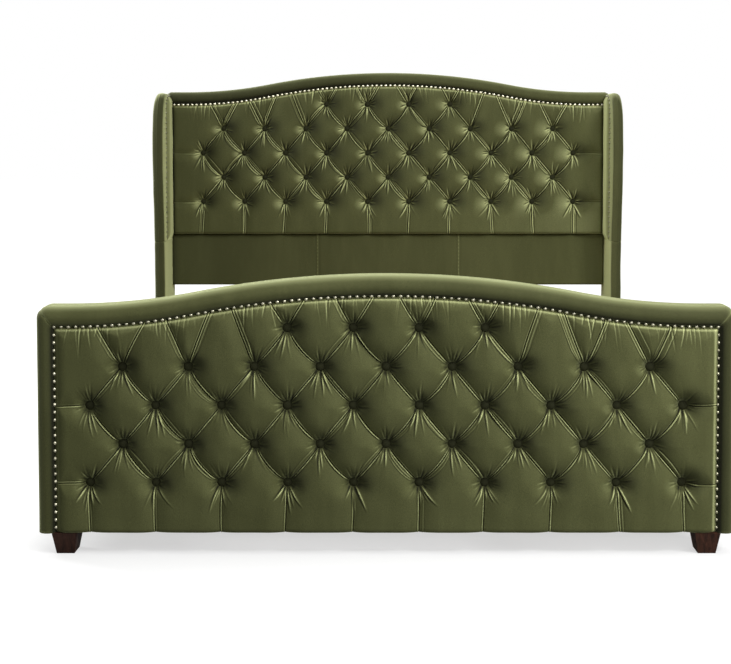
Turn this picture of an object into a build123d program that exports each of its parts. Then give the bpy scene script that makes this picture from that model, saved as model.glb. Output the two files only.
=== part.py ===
# Upholstered wing bed: a tufted headboard between two wings, a tufted footboard,
# padded side rails and a slatted base. Millimetres, +Z up, the foot end faces -Y.
from build123d import *
import math
import os

# Mattress and the room that it gets
mattress_width = 1524
mattress_length = 2032
side_clearance = 30
end_clearance = 30

# Board build-up, from the tufted face to the back
tuft_crown = 42
panel_thickness = 9
frame_depth = 35
back_cover_thickness = 6
lower_pad_thickness = 14

# Camel-back crest, the same on both boards
crest_rise = 74
crest_low_share = 0.4
shoulder_flat = 70
top_border_width = 50
side_border_width = 44
border_wrap = 10
border_roll_radius = 22
border_inner_radius = 12
border_back_radius = 5
border_corner_radius = 28

# Footboard
footboard_overhang = 2
footboard_bottom = 52
footboard_crown = 674
footboard_row_rise = 119

# Headboard
headboard_crown = 1254
headboard_row_rise = 124
tufted_bottom = 633
lower_panel_bottom = 433
lower_panel_seam = 274
lower_panel_edge_radius = 4
lower_panel_seam_depth = 4
lower_panel_seam_width = 9

# Timber frames inside the boards
stile_width = 100
frame_rail_width = 70

# Diamond tufting
tuft_pitch = 159
tuft_row_pitch = 94
button_side_margin = 75
button_top_margin = 54
pleat_half_width = 52
pleat_depth = 22
pleat_bulge = 4
dimple_radius = 58
dimple_depth = 27
dimple_sides = 8
button_radius = 13.5
button_height = 9
button_top_radius = 8
pad_edge_radius = 18

# Wings, which run down to the floor as the rear posts
wing_thickness = 39
wing_wrap = 9
post_reach = 190
wing_swell = 36
swell_start = 520
swell_drop = 200
wing_face_radius = 440
wing_brow_radius = 120
wing_top_drop = 7
wing_edge_radius = 13
wing_pad_setback = 60
wing_pad_drop = 10
wing_pad_corner = 60
wing_pad_thickness = 7
wing_pad_radius = 5
wing_seam_drop = 19
glide_height = 8
glide_radius = 14
glide_inset = 40

# Side rails
rail_thickness = 46
rail_bottom = 130
rail_height = 220
rail_side_pad = 12
rail_top_pad = 10
rail_bottom_pad = 4
rail_edge_radius = 9

# Slatted base
slat_count = 11
slat_width = 90
slat_thickness = 18
slat_top = 285
slat_end_gap = 4
slat_end_margin = 80
ledger_width = 30
ledger_height = 36
beam_width = 42
beam_height = 60
beam_end_gap = 12
centre_leg_count = 2
centre_leg_width = 45
leveller_radius = 16
leveller_height = 8
leveller_stud_radius = 5
leveller_stud_length = 45

# Front feet
foot_inset = 65
foot_top_width = 61
foot_top_depth = 82
foot_bottom_width = 43
foot_bottom_depth = 58
foot_setback = 4

# Hardware
bolt_radius = 4
bolt_sides = 8
bolt_head_radius = 8
bolt_head_height = 5
bolt_bite = 15
bracket_bolt_length = 30
foot_bolt_length = 70
foot_bolt_grip = 35
headboard_bolt_shares = (0.1, 0.5, 0.9)
post_bolt_offsets = (50, 140)
post_bolt_height = 185
bracket_leg = 60
bracket_height = 80
bracket_thickness = 3
bracket_bottom = 142
bracket_bolt_inset = 22

# Clearances
seam_gap = 0.3
bore_clearance = 0.25
leveller_seat_gap = 0.3
place_tolerance = 0.01

# Places that follow from the sizes
board_thickness = tuft_crown + panel_thickness + frame_depth + back_cover_thickness
headboard_depth = lower_pad_thickness + panel_thickness + frame_depth + back_cover_thickness
inside_length = mattress_length + end_clearance
overall_length = board_thickness + inside_length + headboard_depth
rail_inner = mattress_width / 2 + side_clearance
rail_outer = rail_inner + rail_thickness
wing_outer = rail_outer + wing_thickness
footboard_half = rail_outer + footboard_overhang
crest_half_span = footboard_half - shoulder_flat
crest_radius_sum = (crest_half_span**2 + crest_rise**2) / (2 * crest_rise)

foot_front = -overall_length / 2
foot_panel_front = foot_front + tuft_crown
foot_panel_back = foot_panel_front + panel_thickness
foot_frame_back = foot_panel_back + frame_depth
foot_back = foot_frame_back + back_cover_thickness

head_back = overall_length / 2
head_frame_back = head_back - back_cover_thickness
head_panel_back = head_frame_back - frame_depth
head_panel_front = head_panel_back - panel_thickness
head_front = head_panel_front - tuft_crown
lower_front = head_panel_front - lower_pad_thickness

footboard_first_row = footboard_bottom + footboard_row_rise
headboard_first_row = tufted_bottom + headboard_row_rise
wing_top = headboard_crown - crest_rise - wing_top_drop
wing_seam = tufted_bottom - wing_seam_drop
swell_height = wing_top - swell_drop
rail_top = rail_bottom + rail_height
slat_bottom = slat_top - slat_thickness
ledger_bottom = slat_bottom - ledger_height
beam_bottom = slat_bottom - beam_height

nodes = {}


# Shared helpers
def block(x_span, y_span, z_span):
    corners = list(zip(x_span, y_span, z_span))
    size = [high - low for low, high in zip(*corners)]
    middle = [(high + low) / 2 for low, high in zip(*corners)]
    return Pos(*middle) * Box(*size)


def bore(start, direction, radius, length):
    circle = Plane(origin=start, z_dir=direction) * Circle(radius)
    return extrude(circle, amount=length, dir=direction)


def bolt(head_seat, direction, length):
    # The head lies behind its seat and the shank runs along the direction
    back = [-step for step in direction]
    seat = Plane(origin=head_seat, z_dir=direction)
    head = extrude(seat * RegularPolygon(bolt_head_radius, 6), amount=bolt_head_height, dir=back)
    shank = extrude(seat * RegularPolygon(bolt_radius, bolt_sides), amount=length, dir=direction)
    return head + shank


def frustum(first, last):
    # Flat-sided solid between two outlines that have as many corners
    faces = [Face(Wire.make_polygon(first)), Face(Wire.make_polygon(last))]
    for number in range(len(first)):
        side = [first[number - 1], first[number], last[number], last[number - 1]]
        faces.append(Face(Wire.make_polygon(side)))
    return Solid(Shell(faces))


def group(pieces):
    return Compound([piece.solid() for piece in pieces])


def both_sides(name, piece):
    nodes["right_" + name] = piece
    nodes["left_" + name] = mirror(piece, about=Plane.YZ)


def on_plane(edges, axis, place):
    return edges.filter_by_position(axis, place - place_tolerance, place + place_tolerance)


# Crest outline of a board: a flat shoulder, a hollow arc and a crowned arc on each half
def crest_height(x, crown):
    reach = abs(x)
    low_radius = crest_low_share * crest_radius_sum
    high_radius = crest_radius_sum - low_radius
    if reach >= crest_half_span:
        return crown - crest_rise
    if reach >= crest_half_span * (1 - crest_low_share):
        run = crest_half_span - reach
        return crown - crest_rise + low_radius - math.sqrt(low_radius**2 - run**2)
    return crown - high_radius + math.sqrt(high_radius**2 - reach**2)


def board_outline(half_width, bottom, crown, corner=0):
    shoulder = crown - crest_rise
    bend_x = crest_half_span * (1 - crest_low_share)
    bend_z = shoulder + crest_rise * crest_low_share
    edges = [Line((-half_width, bottom), (half_width, bottom))]
    edges.append(ThreePointArc((bend_x, bend_z), (0, crown), (-bend_x, bend_z)))
    for side in (1, -1):
        edge_x = side * half_width
        edges.append(Line((edge_x, bottom), (edge_x, shoulder - corner)))
        if corner:
            start = (edge_x, shoulder - corner)
            edges.append(TangentArc(start, (edge_x - side * corner, shoulder), tangent=(0, 1)))
        flat_end = (side * crest_half_span, shoulder)
        edges.append(Line((edge_x - side * corner, shoulder), flat_end))
        edges.append(TangentArc(flat_end, (side * bend_x, bend_z), tangent=(-side, 0)))
    return make_face(edges)


def slab(outline, back, front):
    return extrude(Plane.XZ.offset(-back) * outline, amount=back - front, dir=(0, -1, 0))


# Diamond tufting: button places, pleats between them and a dimple under each button
def tuft_places(first_row, half_width, crown):
    places = []
    row = 0
    while first_row + row * tuft_row_pitch < crown:
        height = first_row + row * tuft_row_pitch
        shift = 0.5 if row % 2 == 0 else 0
        reach = int(half_width / tuft_pitch) + 1
        for column in range(-reach, reach):
            x = (column + shift) * tuft_pitch
            fits_side = abs(x) <= half_width - button_side_margin
            if fits_side and height <= crest_height(x, crown) - button_top_margin:
                places.append((row, x, height))
        row += 1
    return places


def flank(outer, inner):
    # Crowned line from the edge of a groove down to its valley
    run = inner[0] - outer[0]
    drop = inner[1] - outer[1]
    length = math.hypot(run, drop)
    lean = math.copysign(1, run) * pleat_bulge / length
    middle = ((outer[0] + inner[0]) / 2 - drop * lean, (outer[1] + inner[1]) / 2 + run * lean)
    return Polyline(outer, middle, inner)


def pleat(start, end, front):
    run = (end[0] - start[0], 0, end[1] - start[1])
    length = math.hypot(run[0], run[2])
    across = (run[2] / length, 0, -run[0] / length)
    rim = pleat_depth
    section = make_face([
        flank((-pleat_half_width, 0), (0, -pleat_depth)),
        flank((pleat_half_width, 0), (0, -pleat_depth)),
        Line((pleat_half_width, 0), (pleat_half_width, rim)),
        Line((pleat_half_width, rim), (-pleat_half_width, rim)),
        Line((-pleat_half_width, rim), (-pleat_half_width, 0)),
    ])
    plane = Plane(origin=(start[0], front, start[1]), x_dir=across, z_dir=run)
    if plane.y_dir.Y > 0:
        plane = Plane(origin=plane.origin, x_dir=plane.x_dir * -1, z_dir=run)
    return extrude(plane * section, amount=length, dir=run)


def tuft_ring(x, y, z, apothem):
    # Corners of the polygon that a dimple or button has at one depth
    radius = apothem / math.cos(math.pi / dimple_sides)
    turns = [2 * math.pi * (side + 0.5) / dimple_sides for side in range(dimple_sides)]
    return [(x + radius * math.cos(turn), y, z + radius * math.sin(turn)) for turn in turns]


def dimple(x, z, front):
    mouth = tuft_ring(x, front, z, dimple_radius)
    seat = tuft_ring(x, front + dimple_depth, z, button_radius + seam_gap)
    return frustum(mouth, seat)


def pleat_lines(places, half_width, bottom, crown):
    taken = {(row, round(x, 3)) for row, x, height in places}
    lines = []
    for row, x, height in places:
        for side in (-1, 1):
            below = (row - 1, round(x - side * tuft_pitch / 2, 3))
            if below in taken:
                continue
            # A diagonal starts here and runs up through the buttons that it meets
            last_row = row
            last_x = x
            while (last_row + 1, round(last_x + side * tuft_pitch / 2, 3)) in taken:
                last_row += 1
                last_x += side * tuft_pitch / 2
            top = height + (last_row - row) * tuft_row_pitch
            outermost = abs(last_x + side * tuft_pitch / 2) > half_width - button_side_margin
            if not outermost:
                # The pleat goes on up to the border
                rise = crown - top
                last_x += side * rise * tuft_pitch / (2 * tuft_row_pitch)
                top = crown
            if top > height:
                lines.append(((x, height), (last_x, top)))
        if row == 0:
            lines.append(((x, height), (x, bottom - pleat_depth)))
        if row % 2 == 0 and abs(x) + tuft_pitch > half_width - button_side_margin:
            lines.append(((x, height), (math.copysign(half_width + pleat_depth, x), height)))
    return lines


def tufted_pad(half_width, bottom, crown, first_row, back, front):
    pad = slab(board_outline(half_width, bottom, crown), back, front)
    front_edges = on_plane(pad.edges(), Axis.Y, front)
    pad = fillet(front_edges - on_plane(front_edges, Axis.Z, bottom), pad_edge_radius)
    places = tuft_places(first_row, half_width, crown)
    lines = pleat_lines(places, half_width, bottom, crown)
    cuts = [pleat(start, end, front) for start, end in lines]
    cuts += [dimple(x, height, front) for row, x, height in places]
    return pad.cut(*cuts)


def tuft_buttons(half_width, crown, first_row, front):
    seat = front + dimple_depth
    buttons = []
    for row, x, height in tuft_places(first_row, half_width, crown):
        base = tuft_ring(x, seat, height, button_radius)
        buttons.append(frustum(base, tuft_ring(x, seat - button_height, height, button_top_radius)))
    return group(buttons)


# Rolled border: rounded over the outer edge and down to the nail line
def rolled_band(outer_face, core_face, opening_face, planes, bare_edges, inner_rim):
    back, panel_front, front = planes
    band = slab(outer_face, back, front)
    for place, radius in ((front, border_roll_radius), (back, border_back_radius)):
        rim = on_plane(band.edges(), Axis.Y, place)
        for axis, edge_place in bare_edges:
            rim = rim - on_plane(rim, axis, edge_place)
        band = fillet(rim, radius)
    band = band - slab(core_face, back, panel_front) - slab(opening_face, panel_front, front)
    rim = on_plane(band.edges(), Axis.Y, front)
    return fillet([edge for edge in rim if inner_rim(edge @ 0.5)], border_inner_radius)


# Curved top rail of a board frame, cut to the crest
def crest_rail(half_width, crown, corner, back, front):
    rail_crown = crown - frame_rail_width
    low = rail_crown - crest_rise
    face = board_outline(half_width, low, crown, corner)
    face -= board_outline(half_width + frame_rail_width, low - frame_rail_width, rail_crown)
    return slab(face, back, front)


# Footboard
foot_pad_half = footboard_half - side_border_width
foot_pad_crown = footboard_crown - top_border_width
foot_cavity_half = footboard_half - border_wrap
foot_cavity_crown = footboard_crown - border_wrap
foot_cavity_corner = border_corner_radius - border_wrap
foot_core_half = foot_cavity_half - seam_gap
foot_core_crown = foot_cavity_crown - seam_gap
foot_core_shoulder = foot_core_crown - crest_rise
foot_core = board_outline(foot_core_half, footboard_bottom, foot_core_crown, foot_cavity_corner)

nodes["footboard_panel"] = slab(foot_core, foot_panel_back, foot_panel_front)
back_cover = slab(foot_core, foot_back, foot_frame_back)
nodes["footboard_top_rail"] = crest_rail(
    foot_core_half, foot_core_crown, foot_cavity_corner, foot_frame_back, foot_panel_back
)
foot_rail_top = footboard_bottom + frame_rail_width
bottom_rail = block(
    (-foot_core_half, foot_core_half),
    (foot_panel_back, foot_frame_back),
    (footboard_bottom, foot_rail_top),
)
foot_stile = block(
    (foot_core_half - stile_width, foot_core_half),
    (foot_panel_back, foot_frame_back),
    (foot_rail_top, foot_core_shoulder - frame_rail_width),
)
pad_sizes = (foot_pad_half - seam_gap, footboard_bottom, foot_pad_crown - seam_gap)
nodes["footboard_tufted_pad"] = tufted_pad(
    *pad_sizes, footboard_first_row, foot_panel_front, foot_front
)
nodes["footboard_buttons"] = tuft_buttons(
    foot_pad_half - seam_gap, foot_pad_crown - seam_gap, footboard_first_row, foot_front
)


def on_foot_rim(point):
    on_side = abs(abs(point.X) - foot_pad_half) < seam_gap
    on_top = abs(point.Z - crest_height(point.X, foot_pad_crown)) < seam_gap
    return on_side or on_top


foot_border = rolled_band(
    board_outline(footboard_half, footboard_bottom, footboard_crown, border_corner_radius),
    board_outline(foot_cavity_half, footboard_bottom, foot_cavity_crown, foot_cavity_corner),
    board_outline(foot_pad_half, footboard_bottom, foot_pad_crown),
    (foot_back, foot_panel_front, foot_front),
    [(Axis.Z, footboard_bottom)],
    on_foot_rim,
)

# The border is sewn from three lengths that meet in mitres at the top corners
mitre_low = footboard_bottom - top_border_width
mitre_line_top = (footboard_half + side_border_width, footboard_crown - crest_rise + top_border_width)
mitre_line_end = (foot_pad_half - side_border_width, foot_pad_crown - crest_rise - top_border_width)
mitre_face = make_face(
    Polyline(
        mitre_line_top,
        mitre_line_end,
        (mitre_line_end[0], mitre_low),
        (mitre_line_top[0], mitre_low),
        close=True,
    )
)
right_mitre = slab(mitre_face, foot_back, foot_front)
both_sides("footboard_side_border", foot_border & right_mitre)
nodes["footboard_top_border"] = foot_border - right_mitre - mirror(right_mitre, about=Plane.YZ)

# Front feet, tapered blocks on hanger bolts
foot_x = footboard_half - foot_inset
foot_y = foot_front + foot_setback + foot_top_depth / 2


def foot_corners(width, depth, height):
    corners = ((-1, -1), (1, -1), (1, 1), (-1, 1))
    return [(foot_x + i * width / 2, foot_y + j * depth / 2, height) for i, j in corners]


foot = frustum(
    foot_corners(foot_bottom_width, foot_bottom_depth, 0),
    foot_corners(foot_top_width, foot_top_depth, footboard_bottom),
)
foot_bolt_y = (foot_panel_back + foot_frame_back) / 2
foot_bolt_low = (foot_x, foot_bolt_y, footboard_bottom - foot_bolt_grip)
foot_bolt = bore(foot_bolt_low, (0, 0, 1), bolt_radius, foot_bolt_length)
foot_bore = bore(foot_bolt_low, (0, 0, 1), bolt_radius + bore_clearance, foot_bolt_length)
both_sides("front_foot", foot - foot_bore)
nodes["footboard_bottom_rail"] = bottom_rail - foot_bore - mirror(foot_bore, about=Plane.YZ)
nodes["foot_bolts"] = group([foot_bolt, mirror(foot_bolt, about=Plane.YZ)])

# Headboard
head_half = rail_outer - seam_gap
head_pad_crown = headboard_crown - top_border_width
head_cavity_crown = headboard_crown - border_wrap
head_core_crown = head_cavity_crown - seam_gap
head_core_shoulder = head_core_crown - crest_rise
head_core = board_outline(head_half, lower_panel_bottom, head_core_crown)
head_rail_top = lower_panel_bottom + frame_rail_width
nodes["headboard_panel"] = slab(head_core, head_panel_back, head_panel_front)
nodes["headboard_back_cover"] = slab(head_core, head_back, head_frame_back)
nodes["headboard_top_rail"] = crest_rail(
    head_half, head_core_crown, 0, head_frame_back, head_panel_back
)
nodes["headboard_bottom_rail"] = block(
    (-head_half, head_half), (head_panel_back, head_frame_back), (lower_panel_bottom, head_rail_top)
)
head_stile = block(
    (head_half - stile_width, head_half),
    (head_panel_back, head_frame_back),
    (head_rail_top, head_core_shoulder - frame_rail_width),
)
nodes["headboard_tufted_pad"] = tufted_pad(
    head_half,
    tufted_bottom,
    head_pad_crown - seam_gap,
    headboard_first_row,
    head_panel_front,
    head_front,
)
nodes["headboard_buttons"] = tuft_buttons(
    head_half, head_pad_crown - seam_gap, headboard_first_row, head_front
)


def on_head_rim(point):
    return abs(point.Z - crest_height(point.X, head_pad_crown)) < seam_gap


head_border_low = head_pad_crown - crest_rise
nodes["headboard_top_border"] = rolled_band(
    board_outline(head_half, head_border_low, headboard_crown),
    board_outline(wing_outer, tufted_bottom, head_cavity_crown),
    board_outline(wing_outer, tufted_bottom, head_pad_crown),
    (head_back, head_panel_front, head_front),
    [(Axis.Z, head_border_low), (Axis.X, head_half), (Axis.X, -head_half)],
    on_head_rim,
)

# Plain lower panel with two sewn seams
lower_panel = block(
    (-head_half, head_half),
    (lower_front, head_panel_front),
    (lower_panel_bottom, tufted_bottom - seam_gap),
)
lower_panel = fillet(on_plane(lower_panel.edges(), Axis.Y, lower_front), lower_panel_edge_radius)
seam_face = make_face(
    Polyline(
        (-lower_panel_seam_width / 2, lower_front),
        (lower_panel_seam_width / 2, lower_front),
        (0, lower_front + lower_panel_seam_depth),
        close=True,
    )
)
for side in (-1, 1):
    start = Pos(side * lower_panel_seam, 0, lower_panel_bottom)
    lower_panel -= extrude(start * seam_face, amount=tufted_bottom - lower_panel_bottom, dir=(0, 0, 1))
nodes["headboard_lower_panel"] = lower_panel

# Wings, drawn in Y and Z
post_front = lower_front - post_reach
swell_front = post_front - wing_swell
brow_angle = math.asin(
    (wing_top - swell_height - wing_brow_radius) / (wing_face_radius - wing_brow_radius)
)
brow_start = (
    swell_front + wing_face_radius * (1 - math.cos(brow_angle)),
    swell_height + wing_face_radius * math.sin(brow_angle),
)
brow_end = (brow_start[0] + wing_brow_radius * math.cos(brow_angle), wing_top)
swell_middle = ((post_front + swell_front) / 2, (swell_start + swell_height) / 2)
wing_face = make_face([
    Line((head_back, glide_height), (post_front, glide_height)),
    Line((post_front, glide_height), (post_front, swell_start)),
    TangentArc((post_front, swell_start), swell_middle, tangent=(0, 1)),
    TangentArc((swell_front, swell_height), swell_middle, tangent=(0, -1)),
    TangentArc((swell_front, swell_height), brow_start, tangent=(0, 1)),
    TangentArc(brow_end, brow_start, tangent=(-1, 0)),
    Line(brow_end, (head_back, wing_top)),
    Line((head_back, wing_top), (head_back, glide_height)),
])


def wing_slab(face, inner, outer):
    return extrude(Plane.YZ.offset(inner) * face, amount=outer - inner, dir=(1, 0, 0))


def wing_core(inset):
    # The board reaches down through the open foot of its cover
    shank_height = lower_panel_bottom - glide_height
    shank = Pos((post_front + head_back) / 2, glide_height + shank_height / 2) * Rectangle(
        head_back - post_front - 2 * inset, shank_height
    )
    face = offset(wing_face, amount=-inset) + shank
    return wing_slab(face, rail_outer + inset, wing_outer - inset)


wing_board = wing_core(wing_wrap + seam_gap)
cover = wing_slab(wing_face, rail_outer, wing_outer)
for place in (rail_outer, wing_outer):
    rim = on_plane(cover.edges(), Axis.X, place)
    rim = rim - on_plane(rim, Axis.Y, head_back) - on_plane(rim, Axis.Z, glide_height)
    cover = fillet(rim, wing_edge_radius)
cover -= wing_core(wing_wrap)

# Padded inner face of a wing, behind a straight nail line
pad_front = post_front + wing_pad_setback
pad_back = head_front - seam_gap
pad_bottom = wing_seam + seam_gap
pad_top = wing_top - wing_pad_drop
pad_bend = ((pad_front, pad_top - wing_pad_corner), (pad_front + wing_pad_corner, pad_top))
pad_face = make_face([
    Line((pad_back, pad_bottom), (pad_front, pad_bottom)),
    Line((pad_front, pad_bottom), pad_bend[0]),
    TangentArc(*pad_bend, tangent=(0, 1)),
    Line(pad_bend[1], (pad_back, pad_top)),
    Line((pad_back, pad_top), (pad_back, pad_bottom)),
])
pad_crown_x = rail_outer - wing_pad_thickness
inner_pad = wing_slab(pad_face, pad_crown_x, rail_outer)
pad_rim = on_plane(inner_pad.edges(), Axis.X, pad_crown_x)
both_sides("wing_inner_pad", fillet(pad_rim, wing_pad_radius))

# Side rails
board_outer = rail_outer - rail_side_pad
rail_span = (foot_back, lower_front)
rail_board = block(
    (rail_inner, board_outer), rail_span, (rail_bottom + rail_bottom_pad, rail_top - rail_top_pad)
)
rail_cover = block((rail_inner, rail_outer), rail_span, (rail_bottom, rail_top))
long_edges = rail_cover.edges().filter_by(Axis.Y)
inner_low = on_plane(on_plane(long_edges, Axis.X, rail_inner), Axis.Z, rail_bottom)
rail_cover = fillet(long_edges - inner_low, rail_edge_radius) - rail_board

# Angle brackets that tie the rails to the footboard
bracket_top = bracket_bottom + bracket_height
bracket = block(
    (rail_inner - bracket_thickness, rail_inner),
    (foot_back, foot_back + bracket_leg),
    (bracket_bottom, bracket_top),
) + block(
    (rail_inner - bracket_leg, rail_inner),
    (foot_back, foot_back + bracket_thickness),
    (bracket_bottom, bracket_top),
)

# Bolts: seat of the head, direction and length of the shank
stile_inner = head_half - stile_width
frame_middle = (head_panel_back + head_frame_back) / 2
wing_bite = rail_outer + wing_wrap + bolt_bite
stile_height = head_core_shoulder - frame_rail_width - head_rail_top
wing_bolts = []
for share in headboard_bolt_shares:
    stile_seat = (stile_inner, frame_middle, head_rail_top + share * stile_height)
    wing_bolts.append((stile_seat, (1, 0, 0), wing_bite - stile_inner))
rail_bolts = [
    ((rail_inner, post_front + shift, post_bolt_height), (1, 0, 0), wing_bite - rail_inner)
    for shift in post_bolt_offsets
]
for height in (bracket_bottom + bracket_bolt_inset, bracket_top - bracket_bolt_inset):
    rail_seat = (rail_inner - bracket_thickness, foot_back + bracket_leg - bracket_bolt_inset, height)
    rail_bolts.append((rail_seat, (1, 0, 0), bracket_bolt_length))
    foot_seat = (rail_inner - bracket_leg + bracket_bolt_inset, foot_back + bracket_thickness, height)
    rail_bolts.append((foot_seat, (0, -1, 0), bracket_bolt_length))


def bored(piece, bolts):
    for seat, direction, length in bolts:
        piece -= bore(seat, direction, bolt_radius + bore_clearance, length + bore_clearance)
    return piece


def bolt_pairs(bolts):
    pieces = []
    for seat, direction, length in bolts:
        piece = bolt(seat, direction, length)
        pieces += [piece, mirror(piece, about=Plane.YZ)]
    return group(pieces)


nodes["headboard_bolts"] = bolt_pairs(wing_bolts)
nodes["rail_bolts"] = bolt_pairs(rail_bolts)
all_bolts = wing_bolts + rail_bolts
seam_plane = Plane.XY.offset(wing_seam)
both_sides("wing_board", bored(wing_board, all_bolts))
both_sides("wing_cover", bored(split(cover, bisect_by=seam_plane, keep=Keep.TOP), wing_bolts))
both_sides("post_cover", bored(split(cover, bisect_by=seam_plane, keep=Keep.BOTTOM), all_bolts))
both_sides("headboard_stile", bored(head_stile, wing_bolts))
both_sides("footboard_stile", bored(foot_stile, rail_bolts))
both_sides("rail_board", bored(rail_board, rail_bolts))
both_sides("rail_cover", bored(rail_cover, rail_bolts))
both_sides("rail_bracket", bored(bracket, rail_bolts))
back_cover = bored(back_cover, rail_bolts)
far_side = mirror(back_cover, about=Plane.YZ)
nodes["footboard_back_cover"] = mirror(bored(far_side, rail_bolts), about=Plane.YZ)

# Glides under the rear posts
wing_middle = (rail_outer + wing_outer) / 2
glides = []
for side in (-1, 1):
    for place in (post_front + glide_inset, head_back - glide_inset):
        glides.append(bore((side * wing_middle, place, 0), (0, 0, 1), glide_radius, glide_height))
nodes["rear_glides"] = group(glides)

# Slats on ledgers, with a centre beam on legs with levelling glides
ledger_x = (rail_inner - ledger_width, rail_inner)
both_sides("slat_ledger", block(ledger_x, rail_span, (ledger_bottom, slat_bottom)))
slat_half = rail_inner - slat_end_gap
first_slat = foot_back + slat_end_margin
slat_step = (lower_front - slat_end_margin - first_slat) / (slat_count - 1)
for number in range(slat_count):
    middle = first_slat + number * slat_step
    nodes[f"slat_{number + 1:02d}"] = block(
        (-slat_half, slat_half),
        (middle - slat_width / 2, middle + slat_width / 2),
        (slat_bottom, slat_top),
    )
beam_start = foot_back + beam_end_gap
beam_end = lower_front - beam_end_gap
nodes["centre_beam"] = block(
    (-beam_width / 2, beam_width / 2), (beam_start, beam_end), (beam_bottom, slat_bottom)
)
leg_bottom = leveller_height + leveller_seat_gap
for number in range(centre_leg_count):
    place = beam_start + (number + 0.5) * (beam_end - beam_start) / centre_leg_count
    half = centre_leg_width / 2
    leg = block((-half, half), (place - half, place + half), (leg_bottom, beam_bottom))
    stud_base = (0, place, leveller_height)
    stud = bore(stud_base, (0, 0, 1), leveller_stud_radius, leveller_stud_length)
    socket_radius = leveller_stud_radius + bore_clearance
    socket = bore(stud_base, (0, 0, 1), socket_radius, leveller_stud_length + bore_clearance)
    disc = bore((0, place, 0), (0, 0, 1), leveller_radius, leveller_height)
    nodes[f"centre_leg_{number + 1}"] = leg - socket
    nodes[f"leveller_{number + 1}"] = disc + stud

# One file for each piece
os.makedirs("parts", exist_ok=True)
for name, piece in nodes.items():
    export_step(piece, f"parts/{name}.step")
print(len(nodes), "pieces")
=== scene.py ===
import math
import bpy
import numpy as np
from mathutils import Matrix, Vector


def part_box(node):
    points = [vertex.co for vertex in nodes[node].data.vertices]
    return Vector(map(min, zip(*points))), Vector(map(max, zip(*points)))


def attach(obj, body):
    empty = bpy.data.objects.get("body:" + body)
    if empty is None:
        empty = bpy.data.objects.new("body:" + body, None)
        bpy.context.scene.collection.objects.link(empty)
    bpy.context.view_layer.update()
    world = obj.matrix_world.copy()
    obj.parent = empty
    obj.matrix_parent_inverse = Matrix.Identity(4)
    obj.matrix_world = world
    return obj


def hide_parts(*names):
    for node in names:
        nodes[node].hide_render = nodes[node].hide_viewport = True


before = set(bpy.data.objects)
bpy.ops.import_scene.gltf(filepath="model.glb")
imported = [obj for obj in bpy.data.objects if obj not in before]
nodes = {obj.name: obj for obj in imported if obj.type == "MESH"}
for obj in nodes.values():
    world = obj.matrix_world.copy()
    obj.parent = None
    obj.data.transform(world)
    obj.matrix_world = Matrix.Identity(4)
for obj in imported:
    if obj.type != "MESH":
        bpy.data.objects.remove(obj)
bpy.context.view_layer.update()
scene = bpy.context.scene
print("frame loaded,", len(nodes), "nodes")


# helpers for lines, grids and meshes
def addPiece(name, points, faces, material, replaced=(), nap=None):
    mesh = bpy.data.meshes.new(name)
    corners = np.asarray(points, float).reshape(-1, 3).tolist()
    mesh.from_pydata(corners, [], [list(map(int, f)) for f in faces])
    mesh.validate()
    mesh.polygons.foreach_set("use_smooth", [True] * len(mesh.polygons))
    if nap is not None:  # painted highlight along a fold, painted shade in a crease, and the other painted light and shade
        mesh.attributes.new("nap", "FLOAT", "POINT").data.foreach_set("value", np.ravel(nap))
    mesh.materials.append(material)
    piece = bpy.data.objects.new(name, mesh)
    scene.collection.objects.link(piece)
    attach(piece, "bed")
    if replaced:
        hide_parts(*replaced)


def gridFaces(rows, columns, ring=False, start=0):
    i, j = np.meshgrid(np.arange(rows - 1), np.arange(columns if ring else columns - 1), indexing="ij")
    a = i * columns + j
    b = i * columns + (j + 1) % columns
    return (np.stack([a, b, b + columns, a + columns], axis=-1).reshape(-1, 4) + start).tolist()


def tubeFaces(rows, columns):  # rings joined along their length, with a cap at both ends
    caps = [list(range(columns))[::-1], list(range((rows - 1) * columns, rows * columns))]
    return gridFaces(rows, columns, True) + caps


def flipped(faces):
    return [f[::-1] for f in faces]


def joined(*parts):  # coordinates side by side, with a single number repeated
    return np.stack(np.broadcast_arrays(*parts), axis=-1).astype(float)


def turnEdges(x, y, z, nap, back):  # one more row all round, folded to the back of the piece
    x, y, z, nap = (np.pad(a, 1, mode="edge") for a in (x, y, z, nap))
    for rim in (np.s_[0, :], np.s_[-1, :], np.s_[:, 0], np.s_[:, -1]):
        y[rim] = back
    return joined(x, y, z), nap


def lineRun(points):  # length from the first point to each of them
    return np.concatenate([[0], np.cumsum(np.linalg.norm(np.diff(points, axis=0), axis=1))])


def evenLine(points, count):  # count is a number of points, or the shares where they lie
    p = np.asarray(points, float)
    run = lineRun(p)
    stops = np.linspace(0, run[-1], count) if np.isscalar(count) else np.asarray(count) * run[-1]
    return np.stack([np.interp(stops, run, p[:, k]) for k in range(p.shape[1])], axis=1)


def smoothLine(points, count):  # Catmull-Rom through the points, evenly spaced along its length
    p = np.asarray(points, float)
    p = np.vstack([2 * p[0] - p[1], p, 2 * p[-1] - p[-2]])
    t = np.linspace(0, 1, 24)[:-1, None]
    parts = []
    for a, b, c, d in zip(p[:-3], p[1:-2], p[2:-1], p[3:]):
        square, cube = 2 * a - 5 * b + 4 * c - d, 3 * b - a - 3 * c + d
        parts.append(0.5 * (2 * b + (c - a) * t + square * t**2 + cube * t**3))
    return evenLine(np.vstack(parts + [p[-2:-1]]), count)


def hump(offset, width):
    return np.exp(-((offset / width) ** 2))


def spot(dx, dz, radius):
    return np.exp(-(dx**2 + dz**2) / radius**2)


def edgeFall(room, radius):  # how far a rounded edge falls back, by the room left to the rim
    inside = np.clip(room, 0, radius)
    return radius - np.sqrt(np.maximum(radius**2 - (radius - inside) ** 2, 0))


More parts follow.
